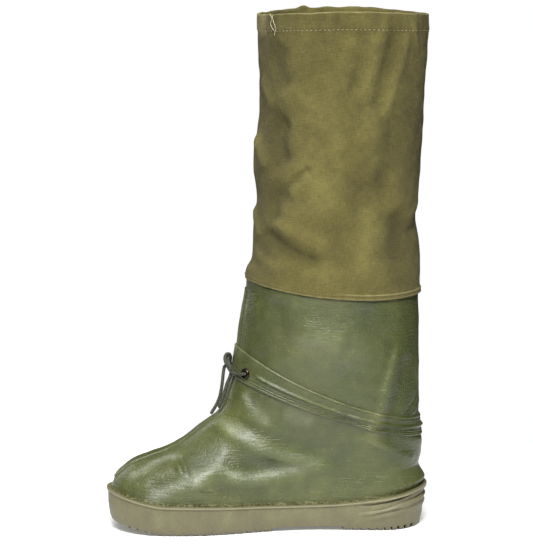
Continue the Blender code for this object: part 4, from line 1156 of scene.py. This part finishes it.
def make_canvas():
    bound, cloth = np.linspace(0, 2, 26)[:-1], np.linspace(2, 12, 112)[:-1]
    levels = np.concatenate([bound, cloth, np.linspace(12, 13, 22)])
    points, normals, moved = canvas_face(levels, SHAFT_COLUMNS)
    level, x = levels[:, None], points[..., 0]
    rear = smooth((x - 0.05) / 0.05)
    binding = BINDING_STEP * smooth((1.02 - level) / 0.08) * (0.35 + 0.65 * rear)
    hem = HEM_STEP * smooth((level - 12.03) / 0.04) - 0.0004 * bell(level, HEM_SEAM, 0.03)
    outer = points + normals * (binding + hem)[..., None]
    keep = np.r_[0:25:6, 25:136:5, 136:158:3]
    inner = hidden_face(points, normals, moved, CANVAS_WALL + hem)[keep][::-1]
    front = smooth((0.002 - x) / 0.006) * smooth((points[..., 2] - 0.50) / 0.008)
    worn = 0.9 * bell(level, 13.0, 0.05) + 0.5 * bell(level, 0.0, 0.3) + 0.7 * front
    worn = worn + 0.9 * bell(level, 0.95, 0.09) * rear
    # Painted shade along the front and the back of the shaft, carried with the folds' depth.
    painted_edge_shade = 1.7 * bell(x, -0.020, 0.022) + 0.9 * bell(x, 0.158, 0.026)
    mesh = shell("canvas_tube", outer, inner, fold=moved * 1000 - painted_edge_shade, worn=worn)
    made = carry(new_object("canvas_tube", mesh, CANVAS), "canvas_shaft")


def make_lining():
    """The pile lining: a thick soft tube from the insole to below the hem, tufted at its top."""
    columns = all_round(34, 22, 28)
    low = upper_points(np.linspace(0.7, 17.4, 66), columns)
    high = canvas_points(np.linspace(3.75, LINING_TOP, 40), columns)
    foot = sole_ring(columns, -FEATHER - CLEAR, lambda x: cup_floor_z(x) + 0.0046)
    outer = np.concatenate([foot, low - outward(low) * CLEAR, high - outward(high) * CLEAR])
    thick = PILE * (1 + 0.22 * lumps(outer, 0.007, 6.1) + 0.12 * lumps(outer, 0.003, 8.3))
    thick[-3:] *= np.array([0.95, 0.75, 0.35])[:, None]
    inner = (outer - outward(outer) * thick[..., None])[::-1]
    mesh = shell("plush_lining", outer, inner)
    made = carry(new_object("plush_lining", mesh, PLUSH))

    quads, _, _ = grid_quads(TUFT_ROWS, columns.count, True)
    bed = new_object("pile_bed", mesh_of("pile_bed", inner[:TUFT_ROWS], quads))
    sizes = {"Tufts per square metre": 210000.0, "Length": 0.0052, "Width": 0.0011}
    carry(grown("lining_tufts", bed, pile_tree(), {**sizes, "Finish": PLUSH}))


def node_group(name, base, *sizes):
    """A Geometry Nodes tree that takes a base mesh, sizes and a finish, with its inputs."""
    tree = bpy.data.node_groups.new(name, "GeometryNodeTree")
    kinds = {base: "Geometry", **{size: "Float" for size in sizes}, "Finish": "Material"}
    for key, kind in kinds.items():
        tree.interface.new_socket(key, in_out="INPUT", socket_type="NodeSocket" + kind)
    tree.interface.new_socket("Made", in_out="OUTPUT", socket_type="NodeSocketGeometry")
    return tree, add(tree, "NodeGroupInput").outputs


def set_in(tree, given, **feeds):
    """Sets instances on points, makes them a real mesh of the given finish and puts that out."""
    copies = add(tree, "GeometryNodeInstanceOnPoints", feeds)
    real = add(tree, "GeometryNodeRealizeInstances", {0: copies})
    dyed = add(tree, "GeometryNodeSetMaterial", {"Geometry": real, "Material": given["Finish"]})
    add(tree, "NodeGroupOutput", {0: dyed})
    return tree


def stitch_tree():
    """Geometry Nodes: stitches along the edges of a mesh, each a small lozenge of thread."""
    tree, given = node_group("stitches", "Seam", "Spacing", "Length", "Thread")
    curve = add(tree, "GeometryNodeMeshToCurve", {0: given["Seam"]})
    spaced = {"Curve": curve, "Length": given["Spacing"]}
    curve = add(tree, "GeometryNodeResampleCurve", spaced, mode="LENGTH")
    places = add(tree, "GeometryNodeCurveToPoints", {"Curve": curve}, mode="EVALUATED").outputs
    size = add(tree, "CombineXYZ", {0: given["Thread"], 1: given["Thread"], 2: given["Length"]})
    ball = add(tree, "GeometryNodeMeshUVSphere", {"Segments": 6, "Rings": 4, "Radius": 0.5})
    points, turn = places["Points"], places["Rotation"]
    return set_in(tree, given, Points=points, Instance=ball, Rotation=turn, Scale=size)


def pile_tree():
    """Geometry Nodes: tufts of pile scattered over a mesh, each a thin leaning cone."""
    tree, given = node_group("pile", "Bed", "Tufts per square metre", "Length", "Width")
    scatter = {"Mesh": given["Bed"], "Density": given["Tufts per square metre"], "Seed": 5}
    places = add(tree, "GeometryNodeDistributePointsOnFaces", scatter).outputs
    shape = {"Vertices": 4, "Radius Bottom": given["Width"], "Depth": given["Length"]}
    cone = add(tree, "GeometryNodeMeshCone", shape, fill_type="NONE")
    tilts = {0: (-0.55, -0.55, 0.0), 1: (0.55, 0.55, 6.28), "Seed": 9}
    lean = add(tree, "FunctionNodeRandomValue", tilts, data_type="FLOAT_VECTOR")
    turns = {0: places["Rotation"], 1: lean}
    turn = add(tree, "FunctionNodeRotateRotation", turns, rotation_space="LOCAL")
    size = add(tree, "FunctionNodeRandomValue", {2: 0.7, 3: 1.25, "Seed": 3}, data_type="FLOAT")
    return set_in(tree, given, Points=places["Points"], Instance=cone, Rotation=turn, Scale=size)


def grown(name, base, tree, values):
    """The plain mesh object that a Geometry Nodes tree makes on a base, which it takes away."""
    modifier = base.modifiers.new(tree.name, "NODES")
    modifier.node_group = tree
    for item in tree.interface.items_tree:
        if item.name in values:
            modifier[item.identifier] = values[item.name]
    seen = base.evaluated_get(bpy.context.evaluated_depsgraph_get())
    mesh = bpy.data.meshes.new_from_object(seen)
    bpy.data.objects.remove(base)
    mesh.name = name
    return new_object(name, mesh)


def seams(name, lines, finish, *sizes):
    """Stitches along closed lines of points. sizes are their spacing, length and thickness."""
    mesh = bpy.data.meshes.new(name + "_line")
    points, edges = [], []
    for line in lines:
        first, count = len(points), len(line)
        points += [tuple(p) for p in line]
        edges += [(first + i, first + (i + 1) % count) for i in range(count)]
    mesh.from_pydata(points, edges, [])
    values = dict(zip(("Spacing", "Length", "Thread", "Finish"), (*sizes, finish)))
    carry(grown(name, new_object(name + "_line", mesh), STITCHES, values))


def make_stitches():
    """The seams of the hem, of the canvas's bound lower edge and of the ankle tunnel."""

    def line(face, level, out):
        points, normals, _ = face(level + BESIDE, SHAFT_COLUMNS)
        return points[1] + normals[1] * out

    hem, binding = HEM_STEP - 0.0003, BINDING_STEP + 0.0003
    seams("hem_stitches", [line(canvas_face, HEM_SEAM, hem)], THREAD, 0.0045, 0.0024, 0.0005)
    bound = [line(canvas_face, 0.75, binding)]
    seams("binding_stitches", bound, CANVAS_THREAD, 0.0034, 0.0022, 0.0004)
    tunnel = [
        line(rubber_face, level, tunnel_out(np.array([[level]]), SHAFT_COLUMNS)[0][:, None])
        for level in (TUNNEL_SEAMS[0], TUNNEL_SEAMS[-1])
    ]
    seams("tunnel_stitches", tunnel, GREEN_THREAD, 0.0036, 0.0026, 0.0006)


def make_thread_tails():
    """Two loose ends of the hem's thread, which lie on the front corner of the hem."""
    points, normals, _ = canvas_face(np.linspace(11.8, 13.0, 60), SHAFT_COLUMNS)
    points = points + normals * (HEM_STEP + 0.0004)
    for name, line in (
        ("thread_tail_a", ((0.5, 526), (2.8, 521), (1.8, 515), (4.6, 509))),
        ("thread_tail_b", ((3.2, 524), (4.2, 518), (6.0, 512), (5.2, 504))),
    ):
        route = [on_side(points, -1, x, z) for x, z in line]
        carry(tube(name, route, 0.0006, THREAD, 0.002, sides=6)[0])


def side_outs(share, x):
    """How far the sole's side stands out at shares of its height."""
    out, rib = np.moveaxis(through(SIDE, share), -1, 0)
    out = np.minimum(out, 0.0) * RIM
    lip = smooth((share - LIP_FROM + 0.02) / 0.03)
    heel = smooth((from_toe(x) - RIBS_FROM) / RIB_FADE)
    return out + mix(lip * TOP_LIP, lip * HEEL_LIP + rib * HEEL_RIB, heel)


def tread_floor(x):
    """How far the sole's underside is cut in above the tread: grooves and the arch."""
    depth = np.zeros_like(x)
    for (start, stop), pitch in ((FOREFOOT_TREAD, FOREFOOT_PITCH), (HEEL_TREAD, HEEL_PITCH)):
        first, last = start * SOLE_LENGTH - HALF_SOLE, stop * SOLE_LENGTH - HALF_SOLE
        bars = int((last - first) / pitch)
        for i in range(1, bars):
            middle = mix(first, last, i / bars)
            depth = np.maximum(depth, TREAD_DEPTH * (np.abs(x - middle) < GROOVE_WIDTH / 2))
    arch = FOREFOOT_TREAD[1] * SOLE_LENGTH - HALF_SOLE, HEEL_TREAD[0] * SOLE_LENGTH - HALF_SOLE
    return np.maximum(depth, ARCH_RISE * ((x > arch[0]) & (x < arch[1])))


def sole_columns():
    """Columns for the sole with one on each side of each edge of its tread, and their x."""
    front, back = -HALF_SOLE, HALF_SOLE
    front_round, back_round = TOE_ROUND * SOLE_LENGTH, HEEL_ROUND * SOLE_LENGTH
    plain = all_round(44, 96, 40)
    x = plain.plan(front, back, front_round, back_round)[0][: plain.count // 2 + 1]
    fine = np.linspace(front, back, 6000)
    steps = np.nonzero(np.diff(tread_floor(fine)))[0]
    edges = np.concatenate([[fine[i] - EDGE_GAP, fine[i + 1] + EDGE_GAP] for i in steps])
    x = np.concatenate([[front], np.sort(np.concatenate([x[1:-1], edges])), [back]])
    zones = np.where(x < front + front_round, 0, np.where(x > back - back_round, 2, 1))
    toe, heel = (
        np.degrees(np.arccos(np.clip(1 - away / rounding, -1, 1)))
        for away, rounding in ((x - front, front_round), (back - x, back_round))
    )
    middle = (x - front - front_round) / (back - front - front_round - back_round)
    amounts = np.where(zones == 0, toe, np.where(zones == 1, middle, heel))
    return both_sides(zones, amounts), np.concatenate([x, x[-2:0:-1]])


def across_quads(count, first, up):
    """Quads across a ring of points, from its medial to its lateral side."""
    quads = []
    for i in range(1, count // 2 - 1):
        quad = (first + i, first + i + 1, first + count - i - 1, first + count - i)
        quads.append(quad if up else quad[::-1])
    return quads


def make_sole():
    columns, nominal = sole_columns()
    low, side = np.linspace(0, 0.2, 8, endpoint=False), np.linspace(0.2, 0.9, 30, endpoint=False)
    shares = np.concatenate([low, side, np.linspace(0.9, 1.0, 8)])
    flat_x = nominal[None, :] + 0 * shares[:, None]
    high = top_edge_z(flat_x) - tread_z(flat_x)
    share = np.maximum(shares[:, None], tread_floor(nominal)[None, :] / high)
    # The heel's side sweeps up towards the back.
    swept = (share > SWEEP_OVER[0]) & (share < SWEEP_OVER[1])
    heel = smooth((from_toe(flat_x) - RIBS_FROM) / (1 - RIBS_FROM))
    sweep = RIB_SWEEP * 4 * share * (1 - share) * heel
    height = np.where(swept, np.minimum(share + sweep, 0.9 + 0.1 * share), share)
    x, y = round_sole(columns, side_outs(share, flat_x))
    side = np.stack([x, y, mix(tread_z(x), top_edge_z(x), height)], -1)
    out = folded(side, placed(HEEL_RIBS, side)) * smooth((share - 0.1) / 0.1)
    side = side + outward(side) * out[..., None]
    rings = np.concatenate(
        [side, sole_ring(columns, -RIM, top_edge_z), sole_ring(columns, -RIM, cup_floor_z)]
    )
    rows, count = rings.shape[:2]
    ends = across_quads(count, 0, False), across_quads(count, (rows - 1) * count, True)
    quads = np.concatenate([grid_quads(rows, count, True)[0], *ends])
    # A pale line along the lip: painted highlight.
    worn = np.zeros(rings.shape[:2])
    worn[: len(shares)] = 0.35 * bell(shares, 0.965, 0.02)[:, None]
    mesh = mesh_of("sole_cup", rings, quads, worn=worn)
    make_solid(mesh, sharp=38)
    carry(new_object("sole_cup", mesh, SOLE_RUBBER), "outsole")


def overlay(name, levels, columns, closed, out, node):
    """A strip of the rubber on the upper, whose outer face stands out by what out gives."""
    points, normals, moved = rubber_face(levels, columns, closed)
    level = np.asarray(levels, float)[:, None]
    # Pale edge lines: painted highlight along the tunnel's top and bottom edges, and the tape's own
    # pale edge.
    if closed:
        worn = 0.32 * bell(level, levels[-1] - 0.05, 0.03)
        worn = worn + 0.25 * bell(level, levels[0] + 0.06, 0.03)
    else:
        worn = 0.45 * bell(columns.amount, TAPE_ANGLE - 0.7, 0.4)
    # Looks for the finish, among them bands of painted highlight and painted shade.
    looks = {
        "fold": moved * 1000,
        "worn": worn + 0.0 * moved,
        "above_sole": (points[..., 2] - top_edge_z(points[..., 0])) * 1000,
        "painted_light": painted_light(points),
    }
    outer = points + normals * out(level, columns)[..., None]
    if closed:
        mesh = shell(name, outer, points[::-1], **looks)
    else:
        # The two faces, and walls round them.
        rows, count = outer.shape[:2]
        faces, _, _ = grid_quads(rows, count, False)
        under = rows * count
        numbers = np.arange(under).reshape(rows, count)
        walls = []
        for line in (numbers[:, 0], numbers[::-1, -1], numbers[0, ::-1], numbers[-1]):
            walls += [(a, b, b + under, a + under) for a, b in zip(line, line[1:])]
        looks = {key: np.concatenate([values, values]) for key, values in looks.items()}
        quads = np.concatenate([faces, faces[:, ::-1] + under, walls])
        mesh = mesh_of(name, np.concatenate([outer, points]), quads, **looks)
        make_solid(mesh, sharp=50)
    carry(new_object(name, mesh, RUBBER), node)


def make_strips():
    """The front tape and the ankle tunnel."""
    angles = np.linspace(-TAPE_ANGLE, TAPE_ANGLE, 17)
    tape = Columns(np.where(angles > 0, -1.0, 1.0), np.zeros(len(angles), int), np.abs(angles))
    overlay("front_tape", np.linspace(*TAPE_RINGS, 260), tape, False, tape_out, "front_seam_tape")
    levels = np.linspace(*BAND, 72)
    overlay("ankle_tunnel", levels, SHAFT_COLUMNS, True, tunnel_out, "ankle_band")


def turned(name, profile, centre, axis, sides, finish):
    """A solid turned about an axis. The profile is a closed outline of radius and height."""
    turn = np.linspace(0, 2 * np.pi, sides, endpoint=False)
    radius, height = np.asarray(profile, float).T
    flat = np.outer(radius, np.cos(turn)), np.outer(radius, np.sin(turn))
    rows = np.stack([*flat, np.repeat(height[:, None], sides, 1)], -1)
    way = Vector(axis).to_track_quat("Z", "Y").to_matrix()
    rows = rows @ np.array(way).T + np.asarray(centre)
    quads, _, _ = grid_quads(len(rows) + 1, sides, True)
    mesh = mesh_of(name, rows, quads % (len(rows) * sides))
    make_solid(mesh, weld=1e-6, sharp=40)
    return new_object(name, mesh, finish)


def make_eyelets():
    ring, half = (EYELET_RADIUS + EYELET_HOLE) / 2, (EYELET_RADIUS - EYELET_HOLE) / 2
    profile = [
        (ring + half * math.cos(a), EYELET_THICKNESS * max(0.0, math.sin(a)))
        for a in np.radians(range(0, 181, 15))
    ]
    profile += [(EYELET_HOLE, -0.0012), (EYELET_RADIUS, -0.0012)]
    for name, side in (("medial", -1.0), ("lateral", 1.0)):
        centre, normal = on_ankle(side, EYELET_ANGLE, EYELET_LEVEL, GAP + BAND_WALL + GAP)
        made = turned("eyelet_ring_" + name, profile, centre, normal, 40, BLACK_METAL)
        carry(made, "eyelet_" + name)


def make_cord_holes():
    """The sewn rings in the hem that the drawcord's ends leave by."""
    hem = canvas_face(np.linspace(12.0, 13.0, 24), SHAFT_COLUMNS)[:2]
    points, normals = (values.reshape(-1, 3) for values in hem)
    half, ring = 0.0005, DRAWCORD / 2 + 0.0006
    profile = [
        (ring + half * math.cos(a), half * math.sin(a)) for a in np.radians(range(0, 360, 45))
    ]
    behind, out, below = DRAWCORD_END[0]
    for name, way in (("hem_ring_front", -1), ("hem_ring_rear", 1)):
        leaves = beside_hem(way * behind, out, below)
        near = nearest(points, leaves)
        normal = normals[near]
        seat = points[near] + normal * (HEM_STEP + half / 2)
        centre = leaves + normal * float((seat - leaves) @ normal)
        carry(turned(name, profile, centre, normal, 24, CANVAS_THREAD))


make_upper()
make_canvas()
make_lining()
STITCHES = stitch_tree()
make_stitches()
make_thread_tails()
make_cord_holes()
make_sole()
make_strips()
make_eyelets()

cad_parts["insole"].material_slots[0].material = FELT
for name in ("cord_lock_barrel", "cord_lock_plunger"):
    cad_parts[name].material_slots[0].material = BLACK_PLASTIC
